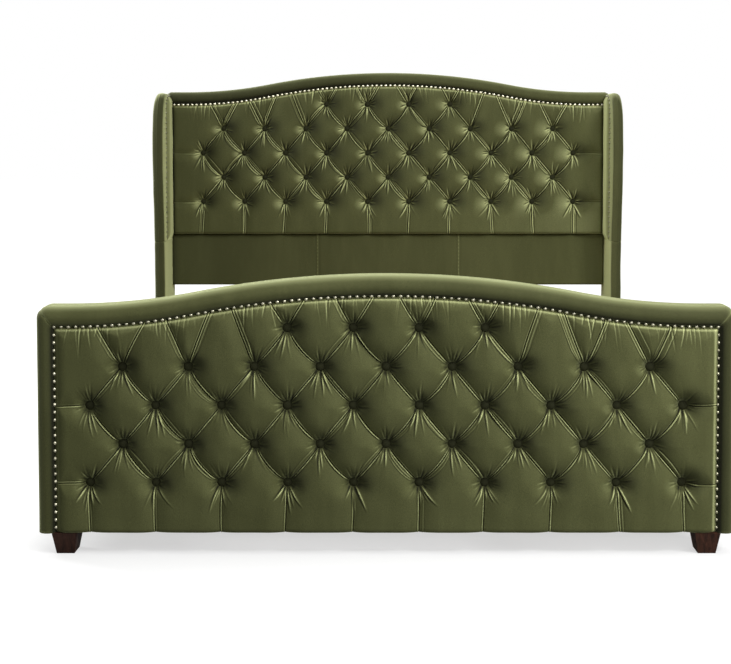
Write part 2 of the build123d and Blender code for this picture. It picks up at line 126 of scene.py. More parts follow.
def ripple(x, z, seed, size, waves=7):  # slow uneven swell of stuffed cloth, from -1 to 1 or so
    rng = np.random.default_rng(seed)
    total = np.zeros_like(x)
    for k in range(waves):
        angle, phase = rng.uniform(0, math.pi), rng.uniform(0, 6.28)
        rate = 6.28 / (size * rng.uniform(0.6, 1.8))
        total += np.sin((x * math.cos(angle) + z * math.sin(angle)) * rate + phase)
    return total / waves**0.5


def sewnEnds(run, seams, depth, light, width=0.003):  # dip, with a painted highlight on its edge, where two covers are sewn together
    dip, nap = np.zeros(len(run)), np.zeros(len(run))
    for end, sewn in zip((run, run[-1] - run), seams):
        if sewn:
            dip += depth * np.exp(-end / width)
            nap += light * hump(end, width)
    return dip, nap


# helpers for shader nodes
def newGroup(name, inputs, outputs):
    group = bpy.data.node_groups.new(name, "ShaderNodeTree")
    for title, kind, start in inputs:
        socket = group.interface.new_socket(name=title, in_out="INPUT", socket_type=kind)
        socket.default_value = start
    for title, kind in outputs:
        group.interface.new_socket(name=title, in_out="OUTPUT", socket_type=kind)
    return group, group.nodes.new("NodeGroupInput").outputs, group.nodes.new("NodeGroupOutput").inputs


def setSocket(tree, socket, value):  # value is a number, a colour or another node's output
    if isinstance(value, bpy.types.NodeSocket):
        tree.links.new(value, socket)
    else:
        socket.default_value = value


def addNode(tree, kind, values=None, **settings):
    node = tree.nodes.new(kind)
    for name, value in settings.items():
        setattr(node, name, value)
    for name, value in (values or {}).items():
        setSocket(tree, node.inputs[name], value)
    return node


def mixColour(tree, factor, first, second, blend="MIX"):
    node = addNode(tree, "ShaderNodeMix", data_type="RGBA", blend_type=blend)
    for place, value in ((0, factor), (6, first), (7, second)):  # the colour sockets of this node
        setSocket(tree, node.inputs[place], value)
    return node.outputs[2]


def calc(tree, operation, first, second, clamp=False):
    node = addNode(tree, "ShaderNodeMath", {0: first, 1: second}, operation=operation, use_clamp=clamp)
    return node.outputs[0]


def vectorCalc(tree, operation, first, second):
    return addNode(tree, "ShaderNodeVectorMath", {0: first, 1: second}, operation=operation).outputs[0]


def spread(tree, value, low, high, toLow=0.0, toHigh=1.0):  # any of these may be a socket
    values = {"Value": value, "From Min": low, "From Max": high, "To Min": toLow, "To Max": toHigh}
    return addNode(tree, "ShaderNodeMapRange", values).outputs[0]


def dimmed(tree, colour, value):
    grey = addNode(tree, "ShaderNodeCombineColor", {0: value, 1: value, 2: value}).outputs[0]
    return mixColour(tree, 1.0, colour, grey, "MULTIPLY")


def stretched(tree, scale):
    where = addNode(tree, "ShaderNodeTexCoord").outputs["Object"]
    return addNode(tree, "ShaderNodeMapping", {"Vector": where, "Scale": scale}).outputs[0]


def noise(tree, where, scale, detail, roughness=0.5, distortion=0.0):
    values = {"Vector": where, "Scale": scale, "Detail": detail}
    values.update({"Roughness": roughness, "Distortion": distortion})
    return addNode(tree, "ShaderNodeTexNoise", values).outputs[0]


# effects that several finishes share
colour, number, vector = "NodeSocketColor", "NodeSocketFloat", "NodeSocketVector"


def makeVelvetNap():  # brushed patches, finer strokes and the pile itself, with a painted highlight along folds and painted shade in creases
    inputs = [("Deep", colour, (0.05, 0.06, 0.02, 1)), ("Brushed", colour, (0.1, 0.12, 0.05, 1))]
    inputs += [("Open", colour, (0.3, 0.34, 0.16, 1)), ("Closed", colour, (0.03, 0.03, 0.01, 1))]
    inputs += [("Fold", number, 0.0), ("Brush", number, 0.4)]
    inputs += [("Stroke Scale", number, 5.0), ("Pile Scale", number, 900.0)]
    group, given, made = newGroup("velvetNap", inputs, [("Color", colour), ("Height", number)])
    soft = noise(group, stretched(group, (1.0, 1.0, 0.45)), given["Stroke Scale"], 3.0, 0.55, 0.6)
    finer = noise(group, stretched(group, (9.0, 9.0, 1.6)), given["Stroke Scale"], 2.0, 0.6)
    pile = noise(group, stretched(group, (1.0, 1.0, 0.55)), given["Pile Scale"], 1.0)
    patch = spread(group, soft, 0.34, 0.68)
    stroke = spread(group, finer, 0.35, 0.7, -0.25, 0.25)
    brushed = calc(group, "MULTIPLY", calc(group, "ADD", patch, stroke, True), given["Brush"])
    nap = mixColour(group, brushed, given["Deep"], given["Brushed"])
    # painted highlight where the attribute is above zero, painted shade where it is below
    nap = mixColour(group, spread(group, given["Fold"], 0.0, 1.0), nap, given["Open"])
    nap = mixColour(group, spread(group, given["Fold"], 0.0, -1.0), nap, given["Closed"])
    group.links.new(dimmed(group, nap, spread(group, pile, 0.3, 0.7, 0.78, 1.2)), made["Color"])
    group.links.new(pile, made["Height"])
    return group


def makeWoodGrain():  # long streaks, pores and slow changes of tone
    inputs = [("Dark", colour, (0.2, 0.1, 0.05, 1)), ("Light", colour, (0.4, 0.25, 0.12, 1))]
    inputs += [("Stretch", vector, (1.0, 1.0, 1.0)), ("Grain Scale", number, 60.0), ("Contrast", number, 1.0)]
    outputs = [("Color", colour), ("Height", number), ("Gloss", number)]
    group, given, made = newGroup("woodGrain", inputs, outputs)
    where = addNode(group, "ShaderNodeTexCoord").outputs["Object"]
    along = vectorCalc(group, "MULTIPLY", where, given["Stretch"])
    streak = noise(group, along, given["Grain Scale"], 5.0, 0.6, 0.8)
    pore = spread(group, noise(group, along, 420.0, 2.0), 0.32, 0.5, 0.75, 1.0)
    shade = spread(group, noise(group, where, 6.0, 1.0), 0.3, 0.7, 0.82, 1.12)
    factor = calc(group, "MULTIPLY", spread(group, streak, 0.36, 0.66), given["Contrast"])
    grain = mixColour(group, factor, given["Light"], given["Dark"])
    group.links.new(dimmed(group, grain, calc(group, "MULTIPLY", shade, pore)), made["Color"])
    group.links.new(pore, made["Height"])
    group.links.new(spread(group, streak, 0.3, 0.7, 0.36, 0.55), made["Gloss"])
    return group


def makePatina():  # handling marks that dull a plated or moulded surface
    inputs = [("Bright", colour, (0.8, 0.8, 0.8, 1)), ("Dull", colour, (0.4, 0.4, 0.38, 1))]
    inputs += [("Spot Scale", number, 60.0), ("Amount", number, 0.4)]
    inputs += [("Polished", number, 0.2), ("Worn", number, 0.55)]
    group, given, made = newGroup("metalPatina", inputs, [("Color", colour), ("Roughness", number)])
    spots = noise(group, stretched(group, (1, 1, 1)), given["Spot Scale"], 4.0, 0.65)
    factor = calc(group, "MULTIPLY", spread(group, spots, 0.42, 0.66), given["Amount"])
    group.links.new(mixColour(group, factor, given["Bright"], given["Dull"]), made["Color"])
    group.links.new(spread(group, factor, 0.0, 1.0, given["Polished"], given["Worn"]), made["Roughness"])
    return group


velvetNap, woodGrain, metalPatina = makeVelvetNap(), makeWoodGrain(), makePatina()


# finishes
def newMaterial(name, group, values):
    material = bpy.data.materials.new(name)
    material.use_nodes = True
    tree = material.node_tree
    shader = tree.nodes["Principled BSDF"]
    node = addNode(tree, "ShaderNodeGroup", values, node_tree=group)
    tree.links.new(node.outputs["Color"], shader.inputs["Base Color"])
    return material, tree, shader.inputs, node


def addBump(tree, shader, height, strength, distance):
    bump = addNode(tree, "ShaderNodeBump", {"Height": height, "Strength": strength, "Distance": distance})
    tree.links.new(bump.outputs[0], shader["Normal"])


velvetLook = {
    "deep": (0.080, 0.085, 0.031, 1), "brushed": (0.130, 0.138, 0.055, 1), "brush": 0.4, "strokes": 4.0,
    # painted highlight on fold edges, and painted shade in creases
    "open": (0.54, 0.575, 0.272, 1), "closed": (0.008, 0.0085, 0.003, 1),
    "grazing": (0.40, 0.43, 0.205, 1), "grazed": 0.72, "grazeSpan": (0.45, 0.85),  # painted sheen: the base colour turns lighter where the surface turns away from the view
    "sheen": 0.6, "sheenRoughness": 0.35, "sheenTint": (0.84, 0.9, 0.50, 1),
    "roughness": 0.82, "specular": 0.15, "bump": (0.25, 0.0006),
}


def velvetMaterial(name, **changes):
    look = dict(velvetLook, **changes)
    values = {"Deep": look["deep"], "Brushed": look["brushed"], "Open": look["open"]}
    values.update({"Closed": look["closed"], "Brush": look["brush"], "Stroke Scale": look["strokes"]})
    material, tree, shader, nap = newMaterial(name, velvetNap, values)
    # painted light and shade carried on the mesh's points
    folds = addNode(tree, "ShaderNodeAttribute", attribute_name="nap").outputs["Fac"]
    tree.links.new(folds, nap.inputs["Fold"])
    facing = addNode(tree, "ShaderNodeLayerWeight", {"Blend": 0.5}).outputs["Facing"]
    tips = spread(tree, facing, *look["grazeSpan"], 0.0, look["grazed"])
    tips = calc(tree, "MULTIPLY", tips, spread(tree, folds, -1.0, 0.0))  # the painted sheen fades out where shade is painted into a crease
    tree.links.new(mixColour(tree, tips, nap.outputs["Color"], look["grazing"]), shader["Base Color"])
    shader["Roughness"].default_value = look["roughness"]
    shader["Specular IOR Level"].default_value = look["specular"]
    shader["Sheen Weight"].default_value = look["sheen"]
    shader["Sheen Roughness"].default_value = look["sheenRoughness"]
    shader["Sheen Tint"].default_value = look["sheenTint"]
    addBump(tree, shader, nap.outputs["Height"], *look["bump"])
    return material


timberLook = {
    "dark": (0.4, 0.25, 0.12, 1), "light": (0.64, 0.46, 0.26, 1), "stretch": (0.1, 1, 1), "scale": 34.0,
    "contrast": 0.8, "coat": 0.0, "coatRoughness": 0.25, "specular": 0.4, "bump": (0.3, 0.0004),
}


def woodMaterial(name, **changes):
    look = dict(timberLook, **changes)
    values = {"Dark": look["dark"], "Light": look["light"], "Stretch": look["stretch"]}
    values.update({"Grain Scale": look["scale"], "Contrast": look["contrast"]})
    material, tree, shader, grain = newMaterial(name, woodGrain, values)
    tree.links.new(grain.outputs["Gloss"], shader["Roughness"])
    shader["Coat Weight"].default_value = look["coat"]
    shader["Coat Roughness"].default_value = look["coatRoughness"]
    shader["Specular IOR Level"].default_value = look["specular"]
    addBump(tree, shader, grain.outputs["Height"], *look["bump"])
    return material


nailLook = {
    "bright": (0.92, 0.88, 0.70, 1), "dull": (0.52, 0.49, 0.36, 1), "spots": 160.0, "amount": 0.5,
    "polished": 0.42, "worn": 0.6, "metallic": 1.0,
}


def patinaMaterial(name, **changes):
    look = dict(nailLook, **changes)
    values = {"Bright": look["bright"], "Dull": look["dull"], "Spot Scale": look["spots"]}
    values.update({"Amount": look["amount"], "Polished": look["polished"], "Worn": look["worn"]})
    material, tree, shader, patina = newMaterial(name, metalPatina, values)
    tree.links.new(patina.outputs["Roughness"], shader["Roughness"])
    shader["Metallic"].default_value = look["metallic"]
    return material


velvet = velvetMaterial("oliveVelvet")
rollVelvet = velvetMaterial("borderVelvet", grazed=0.70, grazeSpan=(0.08, 0.95))  # painted sheen spread over more of the roll's curve
# brighter painted sheen for the wings and posts
wingVelvet = velvetMaterial("wingVelvet", grazing=(0.58, 0.62, 0.30, 1), grazed=0.78)
# a much darker copy of the velvet: painted shade for buttons sunk in their dimples
buttonVelvet = velvetMaterial("buttonVelvet", deep=(0.018, 0.019, 0.007, 1), brushed=(0.032, 0.034, 0.014, 1),
                              sheen=0.04, grazed=0.12)
espressoLook = {"stretch": (1, 1, 0.12), "scale": 90.0, "contrast": 1.0, "specular": 0.2}
espresso = woodMaterial("espressoWood", dark=(0.014, 0.006, 0.004, 1), light=(0.046, 0.019, 0.012, 1),
                        **espressoLook)
# a lighter, warmer copy of the foot wood: painted light for the right foot
espressoWarm = woodMaterial("espressoWarm", dark=(0.024, 0.010, 0.006, 1), light=(0.082, 0.032, 0.018, 1),
                            **espressoLook)
plywood = woodMaterial("plywoodFace", dark=(0.42, 0.27, 0.14, 1), light=(0.62, 0.45, 0.26, 1),
                       scale=26.0, contrast=0.7)
timber = woodMaterial("frameTimber")
timberLong = woodMaterial("railTimber", stretch=(1, 0.08, 1))
timberTall = woodMaterial("postTimber", stretch=(1, 1, 0.08))
slatWood = woodMaterial("slatPine", dark=(0.46, 0.29, 0.14, 1), light=(0.72, 0.54, 0.32, 1),
                        stretch=(0.06, 1, 1), scale=38.0, contrast=0.85, coat=0.05)
nailMetal = patinaMaterial("silverNails")
# darker copies of the silver nails: painted shade for the footboard's rows, its right column and the wings
footNailMetal = patinaMaterial("softNails", bright=(0.58, 0.56, 0.43, 1), dull=(0.28, 0.26, 0.18, 1))
dimNailMetal = patinaMaterial("dimNails", bright=(0.36, 0.35, 0.25, 1), dull=(0.12, 0.11, 0.07, 1),
                              amount=0.8)
wingNailMetal = patinaMaterial("agedNails", bright=(0.26, 0.26, 0.18, 1), dull=(0.09, 0.09, 0.05, 1),
                               amount=0.7, polished=0.4)
steel = patinaMaterial("zincSteel", bright=(0.58, 0.59, 0.6, 1), dull=(0.36, 0.36, 0.36, 1),
                       spots=45.0, amount=0.6, polished=0.25, worn=0.55)
nylon = patinaMaterial("blackNylon", bright=(0.02, 0.02, 0.02, 1), dull=(0.05, 0.05, 0.05, 1),
                       spots=90.0, polished=0.2, worn=0.55, metallic=0.0)

slatNames = [name for name in nodes if name.startswith("slat_")]
keptFinish = {  # CAD pieces that stay as they are
    espresso: ["left_front_foot"],
    # the right foot takes the copy with painted light
    espressoWarm: ["right_front_foot"],
    plywood: ["footboard_panel", "headboard_panel"],
    timber: ["footboard_top_rail", "footboard_bottom_rail", "headboard_top_rail", "headboard_bottom_rail"],
    timberTall: ["left_footboard_stile", "right_footboard_stile", "left_headboard_stile",
                 "right_headboard_stile", "left_wing_board", "right_wing_board",
                 "centre_leg_1", "centre_leg_2"],
    timberLong: ["left_rail_board", "right_rail_board", "left_slat_ledger", "right_slat_ledger",
                 "centre_beam"],
    slatWood: slatNames,
    steel: ["left_rail_bracket", "right_rail_bracket", "rail_bolts", "headboard_bolts", "foot_bolts"],
    nylon: ["rear_glides", "leveller_1", "leveller_2"],
}
for material, names in keptFinish.items():
    for name in names:
        nodes[name].data.materials.clear()
        nodes[name].data.materials.append(material)
print("materials ready")


# camel-back crest, shared by both boards
crest = {"rise": 0.074, "lowShare": 0.4, "halfSpan": 0.770}


def crestLine(x, crown):
    reach = np.abs(np.asarray(x, float))
    span, rise = crest["halfSpan"], crest["rise"]
    total = (span**2 + rise**2) / (2 * rise)
    low, high = total * crest["lowShare"], total * (1 - crest["lowShare"])
    hollow = crown - rise + low - np.sqrt(np.maximum(low**2 - (span - reach) ** 2, 0))
    crowned = crown - high + np.sqrt(np.maximum(high**2 - reach**2, 0))
    bend = span * (1 - crest["lowShare"])
    return np.where(reach >= span, crown - rise, np.where(reach >= bend, hollow, crowned))


def crestRun(xs, crown):
    return joined(xs, crestLine(xs, crown))


def toneAcross(x, half, tone):  # tone that changes slowly from one side to the other, used for painted light and shade
    places, values = zip(*tone)
    return np.interp(x / half, places, values)


# diamond tufting
tuft = {
    "pitch": 0.159, "rowPitch": 0.094, "sideMargin": 0.075, "topMargin": 0.054, "fill": 0.75,
    "blend": 4,                                          # power that joins the hollows where they meet
    "pillowReach": 0.060, "pillowPower": 2.3,            # from a pleat up to the crown of a diamond
    "pleatDepth": 0.016, "pleatEndDepth": 0.018, "pleatEnd": 0.04,
    "bow": (-0.002, 0.002), "sag": (0.004, 0.0085),      # how far a pleat leaves the straight line
    "dimpleReach": 0.054, "dimpleDepth": 0.034, "dimplePower": 2.5, "dimpleFlat": 0.008,
    "lineStart": 0.009, "lineFade": 0.018, "lineEnd": 0.004,  # fold lines rise out of the dimples
    "lip": 0.0034, "lipWidth": 0.0017, "lipGap": 0.0031, "plainGap": 0.0030, "lipShade": 0.45,
    "crease": 0.0042, "creaseWidth": 0.0015,
    "loose": 0.0021, "looseDull": 0.0012, "looseOut": 0.0062, "looseStep": 0.004,
    "looseWidth": 0.0016, "looseShade": (0.7, 0.0032, 0.0017),
    "crestLean": (0.052, 0.58),                          # pleats that run up to the nail line
    "fans": [(-90, 36, 8, 0.078, "downFan"), (90, 34, 8, 0.062, "upFan"),  # heading, spread, most, length
             (180, 34, 7, 0.036, "sideFan"), (0, 34, 7, 0.042, "farFan")],
    "fanStart": 0.010, "fanRise": 0.006, "fanCurl": 2.2, "fanFlare": 0.010, "fanShade": (0.85, 2.3, 1.25),
    "gatherStep": 0.011, "gatherReach": (0.018, 0.075), "gatherHeight": (0.0006, 0.0034),
    "gatherWidth": 0.0019, "gatherShade": (0.7, 0.0038, 0.0021),
    "topFall": (0.015, 0.034), "sideFall": (0.014, 0.032), "fallPower": 2.2, "swell": (0.0007, 0.12),
    "napHeight": 0.0030,                                 # fold height at which the painted highlight on a ridge, and the painted shade in a crease, are full
    # where the painted shade and painted light sit beside each button
    "shadeRise": 0.28, "ringWidth": 0.009, "glowDrop": 0.006, "bloomAt": (0.040, 0.004, 0.036),
    # painted highlight just under the nail line, and a painted band of light fading down from it
    "rimIn": 0.007, "rimLight": (0.5, 0.0032), "crestFade": 0.022,
    "crestTone": [(-1, 0.10), (-0.8, 0.30), (0.2, 0.30), (0.8, 0.08)],
}
pleatKinds = {  # depth left at the far end, reach, how far the line fades, its strength
    "diamond": {"settle": 1.0, "reach": 1.0, "fade": 0.0, "weight": 1.0},
    "crest": {"settle": 0.6, "reach": 0.8, "fade": 0.35, "weight": 1.0},
    "hem": {"settle": 0.55, "reach": 0.85, "fade": 0.3, "weight": 0.85},
    "side": {"settle": 0.35, "reach": 0.7, "fade": 0.6, "weight": 1.0},
}
footPad = {
    "name": "footboardPad", "node": "footboard_tufted_pad", "seed": 5, "grid": 0.0014,
    "rowRise": 0.119, "hem": 0.010, "button": 0.0142,
    "line": 0.8, "dull": 0.78, "sideFold": 0.75, "gather": 0.65,
    "fan": 0.0029, "fanWidth": 0.0020, "downFan": 1.0, "upFan": 0.62, "sideFan": 0.45, "farFan": 0.36,
    # strength of painted fold light and shade; painted light below the first row; painted highlight along the
    # sides
    "shine": 1.3, "low": 0.0, "rim": (0.2, 0.55), "rimWidth": 0.0045,
    "hollow": 0.6, "ring": 0.95, "shadeShift": 0.023, "shadeSize": 0.031,    # painted shade on the dark side of a button
    "glow": 0.20, "glowShift": 0.016, "glowSize": 0.021, "bloom": 0.45,      # painted light on the lit side
    # tone: painted shade across the pad, lighter towards the right end
    "tone": [(-1, -0.12), (-0.5, -0.20), (0, -0.18), (0.5, -0.15), (1, -0.06)],
}
headPad = {
    "name": "headboardPad", "node": "headboard_tufted_pad", "seed": 11, "grid": 0.0019,
    "rowRise": 0.124, "hem": 0.012, "button": 0.0106,
    "line": 1.1, "dull": 0.6, "sideFold": 0.22, "gather": 0.45,
    "fan": 0.0028, "fanWidth": 0.0016, "downFan": 1.0, "upFan": 0.8, "sideFan": 0.9, "farFan": 0.72,
    # strength of painted fold light and shade; painted light below the first row; painted shade along the
    # sides, next to the wings
    "shine": 1.8, "low": 0.12, "rim": (-0.8, -0.7), "rimWidth": 0.0070,
    "hollow": 0.56, "ring": 0.3, "shadeShift": 0.028, "shadeSize": 0.033,
    "glow": 0.66, "glowShift": 0.013, "glowSize": 0.020, "bloom": 0.42,
    # tone: painted shade on the left, painted light at the right end
    "tone": [(-1, -0.36), (-0.9, -0.28), (0.1, -0.25), (0.5, -0.10), (0.9, 0.0), (1, 0.16)],
}


def measurePad(pad):
    low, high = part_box(pad["node"])
    pad.update(half=high.x, bottom=low.z, crown=high.z, front=low.y, back=high.y)
    pad["firstRow"] = low.z + pad["rowRise"]
    pad["places"] = {}
    for row in range(8):
        z = pad["firstRow"] + row * tuft["rowPitch"]
        for step in range(-12, 13):
            x = step * tuft["pitch"] / 2
            if step % 2 != (row + 1) % 2 or abs(x) > pad["half"] - tuft["sideMargin"]:
                continue
            if z <= crestLine(x, pad["crown"]) - tuft["topMargin"]:
                pad["places"][row, step] = (x, z)


def pleatRuns(pad, rng):
    runs = []
    longest, slant = tuft["crestLean"]
    for (row, step), (x, z) in pad["places"].items():
        for side in (-1, 1):
            above = pad["places"].get((row + 1, step + side))
            if above:
                runs.append(("diamond", (x, z), above))
            elif abs(x + side * tuft["pitch"] / 2) <= pad["half"] - tuft["sideMargin"]:
                rise = float(crestLine(x, pad["crown"])) - z
                top = x + side * min(longest, slant * rise) * rng.uniform(0.85, 1.1)
                runs.append(("crest", (x, z), (top, float(crestLine(top, pad["crown"])))))
        if row == 0:
            runs.append(("hem", (x, z), (x + rng.uniform(-0.006, 0.006), pad["bottom"])))
        if row % 2 == 0 and abs(x) + tuft["pitch"] > pad["half"] - tuft["sideMargin"]:
            runs.append(("side", (x, z), (math.copysign(pad["half"], x), z + rng.uniform(-0.003, 0.003))))
    return runs


def thin(pad, offset, width):
    return hump(offset, width * pad["line"])


def window(cloth, low, high, room):  # the columns of the pad that a fold can reach
    return slice(np.searchsorted(cloth["xs"], low - room), np.searchsorted(cloth["xs"], high + room))


def foldPleat(pad, cloth, rng, kind, start, end):
    form, diamond = pleatKinds[kind], kind == "diamond"
    part = window(cloth, min(start[0], end[0]), max(start[0], end[0]), tuft["pillowReach"])
    dx, dz = cloth["x"][:, part] - start[0], cloth["z"][:, part] - start[1]
    length = math.hypot(end[0] - start[0], end[1] - start[1])
    ux, uz = (end[0] - start[0]) / length, (end[1] - start[1]) / length
    flip = -1 if ux < 0 or (kind == "hem" and rng.random() < 0.5) else 1
    along, across = dx * ux + dz * uz, flip * (dz * ux - dx * uz)
    run = np.clip(along, 0, length)
    share = run / length
    middle = np.sin(math.pi * share)
    sags = diamond and abs(end[0]) > abs(start[0])  # pleats that fall towards the middle hang slack
    bow = -rng.uniform(*tuft["sag"]) if sags else rng.uniform(*tuft["bow"])
    line = across - bow * middle
    away = np.hypot(along - run, line)

    # the valley between two pillows
    depth = tuft["pleatDepth"] * (1 - (1 - form["settle"]) * share)
    if diamond:
        ends = hump(run, tuft["pleatEnd"]) + hump(length - run, tuft["pleatEnd"])
        depth = tuft["pleatDepth"] + (tuft["pleatEndDepth"] - tuft["pleatDepth"]) * ends
    reach = tuft["pillowReach"] * form["reach"]
    valley = depth * np.clip(1 - away / reach, 0, 1) ** tuft["pillowPower"]
    cloth["hollow"][:, part] += valley ** tuft["blend"]

    # the folded edge of the pleat, with its shadow line beside it
    fade = np.clip((along - tuft["lineStart"]) / tuft["lineFade"], 0, 1)
    if diamond:
        fade = fade * np.clip((length - tuft["lineStart"] - along) / tuft["lineFade"], 0, 1)
    else:
        fade = fade * (along < length + tuft["lineEnd"]) * (1 - form["fade"] * share)
    weight = pad["sideFold"] if kind == "side" else form["weight"]
    gap = pad["line"] * (tuft["lipGap"] * (0.6 + 0.4 * middle) if diamond else tuft["plainGap"])
    dull = diamond and ux > 0  # these fold edges turn away from the light, so their folds and the painted highlight on them are made weaker
    lips = weight * tuft["lip"] * rng.uniform((0.75, 0.15), (1.2, 0.7)) * (pad["dull"] if dull else 1.0)
    upper, lower = lips if rng.random() < 0.3 else lips[::-1]
    wide = tuft["lipWidth"]
    ridges = upper * thin(pad, line - gap, wide) + lower * thin(pad, line + gap, wide)
    hollows = upper * thin(pad, line - 2 * gap, wide) + lower * thin(pad, line + 2 * gap, wide)
    crease = weight * tuft["crease"] * thin(pad, line, tuft["creaseWidth"])
    cloth["fold"][:, part] += fade * (ridges - tuft["lipShade"] * hollows - crease)

    # looser folds that open from the pleat
    more = {"diamond": rng.integers(0, 2 if dull else 3), "crest": rng.integers(0, 3)}
    more["hem"] = rng.integers(0, 2)
    height = tuft["looseDull"] if dull else tuft["loose"]
    shade, beside, shadeWidth = tuft["looseShade"]
    for k in range(more.get(kind, 0)):
        way = rng.choice((-1, 1))
        opening = middle**0.7 if diamond else np.clip(share / 0.35, 0, 1) ** 0.7
        out = (tuft["looseOut"] + tuft["looseStep"] * k) * rng.uniform(0.8, 1.2) * opening
        loose = line - way * (gap + out)
        edge = thin(pad, loose, tuft["looseWidth"])
        edge = edge - shade * thin(pad, loose - beside * pad["line"] * way, shadeWidth)
        cloth["fold"][:, part] += fade * rng.uniform(0.5, 1.0) * height * edge


def pullButton(pad, cloth, rng, px, pz):  # dimple, painted shade on its dark side and painted light on its lit side, and the wrinkles that fan out
    part = window(cloth, px, px, 0.1)
    dx, dz = cloth["x"][:, part] - px, cloth["z"][:, part] - pz
    far = np.hypot(dx, dz)
    dip = np.clip(1 - (far - tuft["dimpleFlat"]) / tuft["dimpleReach"], 0, 1) ** tuft["dimplePower"]
    cloth["hollow"][:, part] += (tuft["dimpleDepth"] * dip) ** tuft["blend"]
    shift = pad["shadeShift"]
    # painted shade to one side of the button and in a ring round it
    ring = np.clip(1 - (far - pad["button"] + 0.001) / tuft["ringWidth"], 0, 1)
    cloth["shadow"][:, part] += spot(dx - shift, dz - tuft["shadeRise"] * shift, pad["shadeSize"])
    cloth["shadow"][:, part] += pad["ring"] * ring
    bloomOut, bloomDrop, bloomSize = tuft["bloomAt"]
    cloth["glow"][:, part] += spot(dx + pad["glowShift"], dz + tuft["glowDrop"], pad["glowSize"])
    cloth["glow"][:, part] += pad["bloom"] * spot(dx + bloomOut, dz + bloomDrop, bloomSize)
    wide = pad["fanWidth"]
    shade, beside, shadeWidth = tuft["fanShade"]
    counts = [rng.integers(4, most) for _, _, most, _, _ in tuft["fans"]]
    for (centre, width, _, longest, strength), count in zip(tuft["fans"], counts):
        for k in range(count):
            angle = math.radians(centre + width * (2 * (k + 0.5) / count - 1) + rng.uniform(-5, 5))
            reach = longest * rng.uniform(0.55, 1.05)
            along = dx * math.cos(angle) + dz * math.sin(angle)
            curl = rng.uniform(-tuft["fanCurl"], tuft["fanCurl"])
            across = dz * math.cos(angle) - dx * math.sin(angle) - curl * along**2
            fade = np.clip((along - tuft["fanStart"]) / tuft["fanRise"], 0, 1)
            fade = fade * np.clip((reach - along) / (0.6 * reach), 0, 1)
            pull = thin(pad, across, wide + tuft["fanFlare"] * np.clip(along, 0, 1))
            pull -= shade * thin(pad, across + beside * wide * pad["line"], shadeWidth * wide)
            cloth["fold"][:, part] += pad["fan"] * pad[strength] * rng.uniform(0.15, 1.2) * fade * pull


def gatherTop(pad, cloth, rng, top):  # small gathers under the nail line
    shade, beside, shadeWidth = tuft["gatherShade"]
    for px in np.arange(-pad["half"] + 0.03, pad["half"] - 0.02, tuft["gatherStep"]):
        bunch = 0.5 + 0.5 * math.sin(px * 31 + pad["seed"])
        px = px + rng.uniform(-0.007, 0.007)
        part = window(cloth, px, px, 0.03)
        below = top[:, part]
        reach = rng.uniform(*tuft["gatherReach"])
        across = cloth["x"][:, part] - px - rng.uniform(-0.22, 0.22) * below
        pinch = thin(pad, across, tuft["gatherWidth"])
        pinch = pinch - shade * thin(pad, across - beside * pad["line"], shadeWidth)
        height = bunch * pad["gather"] * rng.uniform(*tuft["gatherHeight"])
        cloth["fold"][:, part] += height * np.clip(1 - below / reach, 0, 1) ** 0.7 * pinch


def padSurface(pad, xs, x, z):  # depth of the cloth behind the crown of the pad, and the painted light and shade laid on it
    rng = np.random.default_rng(pad["seed"])
    cloth = {"xs": xs, "x": x, "z": z}
    for layer in ("hollow", "fold", "shadow", "glow"):
        cloth[layer] = np.zeros_like(x)
    for kind, start, end in pleatRuns(pad, rng):
        foldPleat(pad, cloth, rng, kind, start, end)
    for px, pz in pad["places"].values():
        pullButton(pad, cloth, rng, px, pz)
    half, top, sides = pad["half"], crestLine(x, pad["crown"]) - z, pad["half"] - np.abs(x)
    gatherTop(pad, cloth, rng, top)

    for room, (depth, reach) in ((top, tuft["topFall"]), (sides, tuft["sideFall"])):
        fall = depth * np.clip(1 - room / reach, 0, 1) ** tuft["fallPower"]
        cloth["hollow"] += fall ** tuft["blend"]
    swell, swellSize = tuft["swell"]
    surface = cloth["hollow"] ** (1 / tuft["blend"]) - cloth["fold"]
    surface += edgeFall(z - pad["bottom"], pad["hem"]) - swell * ripple(x, z, pad["seed"], swellSize)

    # painted highlights along the pad's top and sides, painted shade along the headboard pad's sides, and a
    # painted band of light under the nail line
    light, lightWidth = tuft["rimLight"]
    leftRim, rightRim = pad["rim"]
    crestLight = np.exp(-np.maximum(top - tuft["rimIn"], 0) / tuft["crestFade"])
    rims = light * thin(pad, top - tuft["rimIn"], lightWidth)
    rims += np.where(x > 0, rightRim, leftRim) * thin(pad, sides - tuft["rimIn"], pad["rimWidth"])
    rims += toneAcross(x, half, tuft["crestTone"]) * crestLight
    # painted highlight on fold ridges and painted shade in creases, from the fold heights
    nap = np.clip(pad["shine"] * cloth["fold"] / tuft["napHeight"], -1, 1) + rims * (top > 0.005)
    # painted light and shade across the pad, and painted light on the strip below the first row
    nap += toneAcross(x, half, pad["tone"]) + pad["low"] * np.clip((pad["firstRow"] - z) / 0.05, 0, 1)
    # painted light on the lit side of each button, painted shade on its dark side
    nap += pad["glow"] * np.clip(cloth["glow"], 0, 1) - pad["hollow"] * np.clip(cloth["shadow"], 0, 1)
    return np.clip(surface, -0.002, pad["back"] - pad["front"] - 0.002), np.clip(nap, -1, 1)


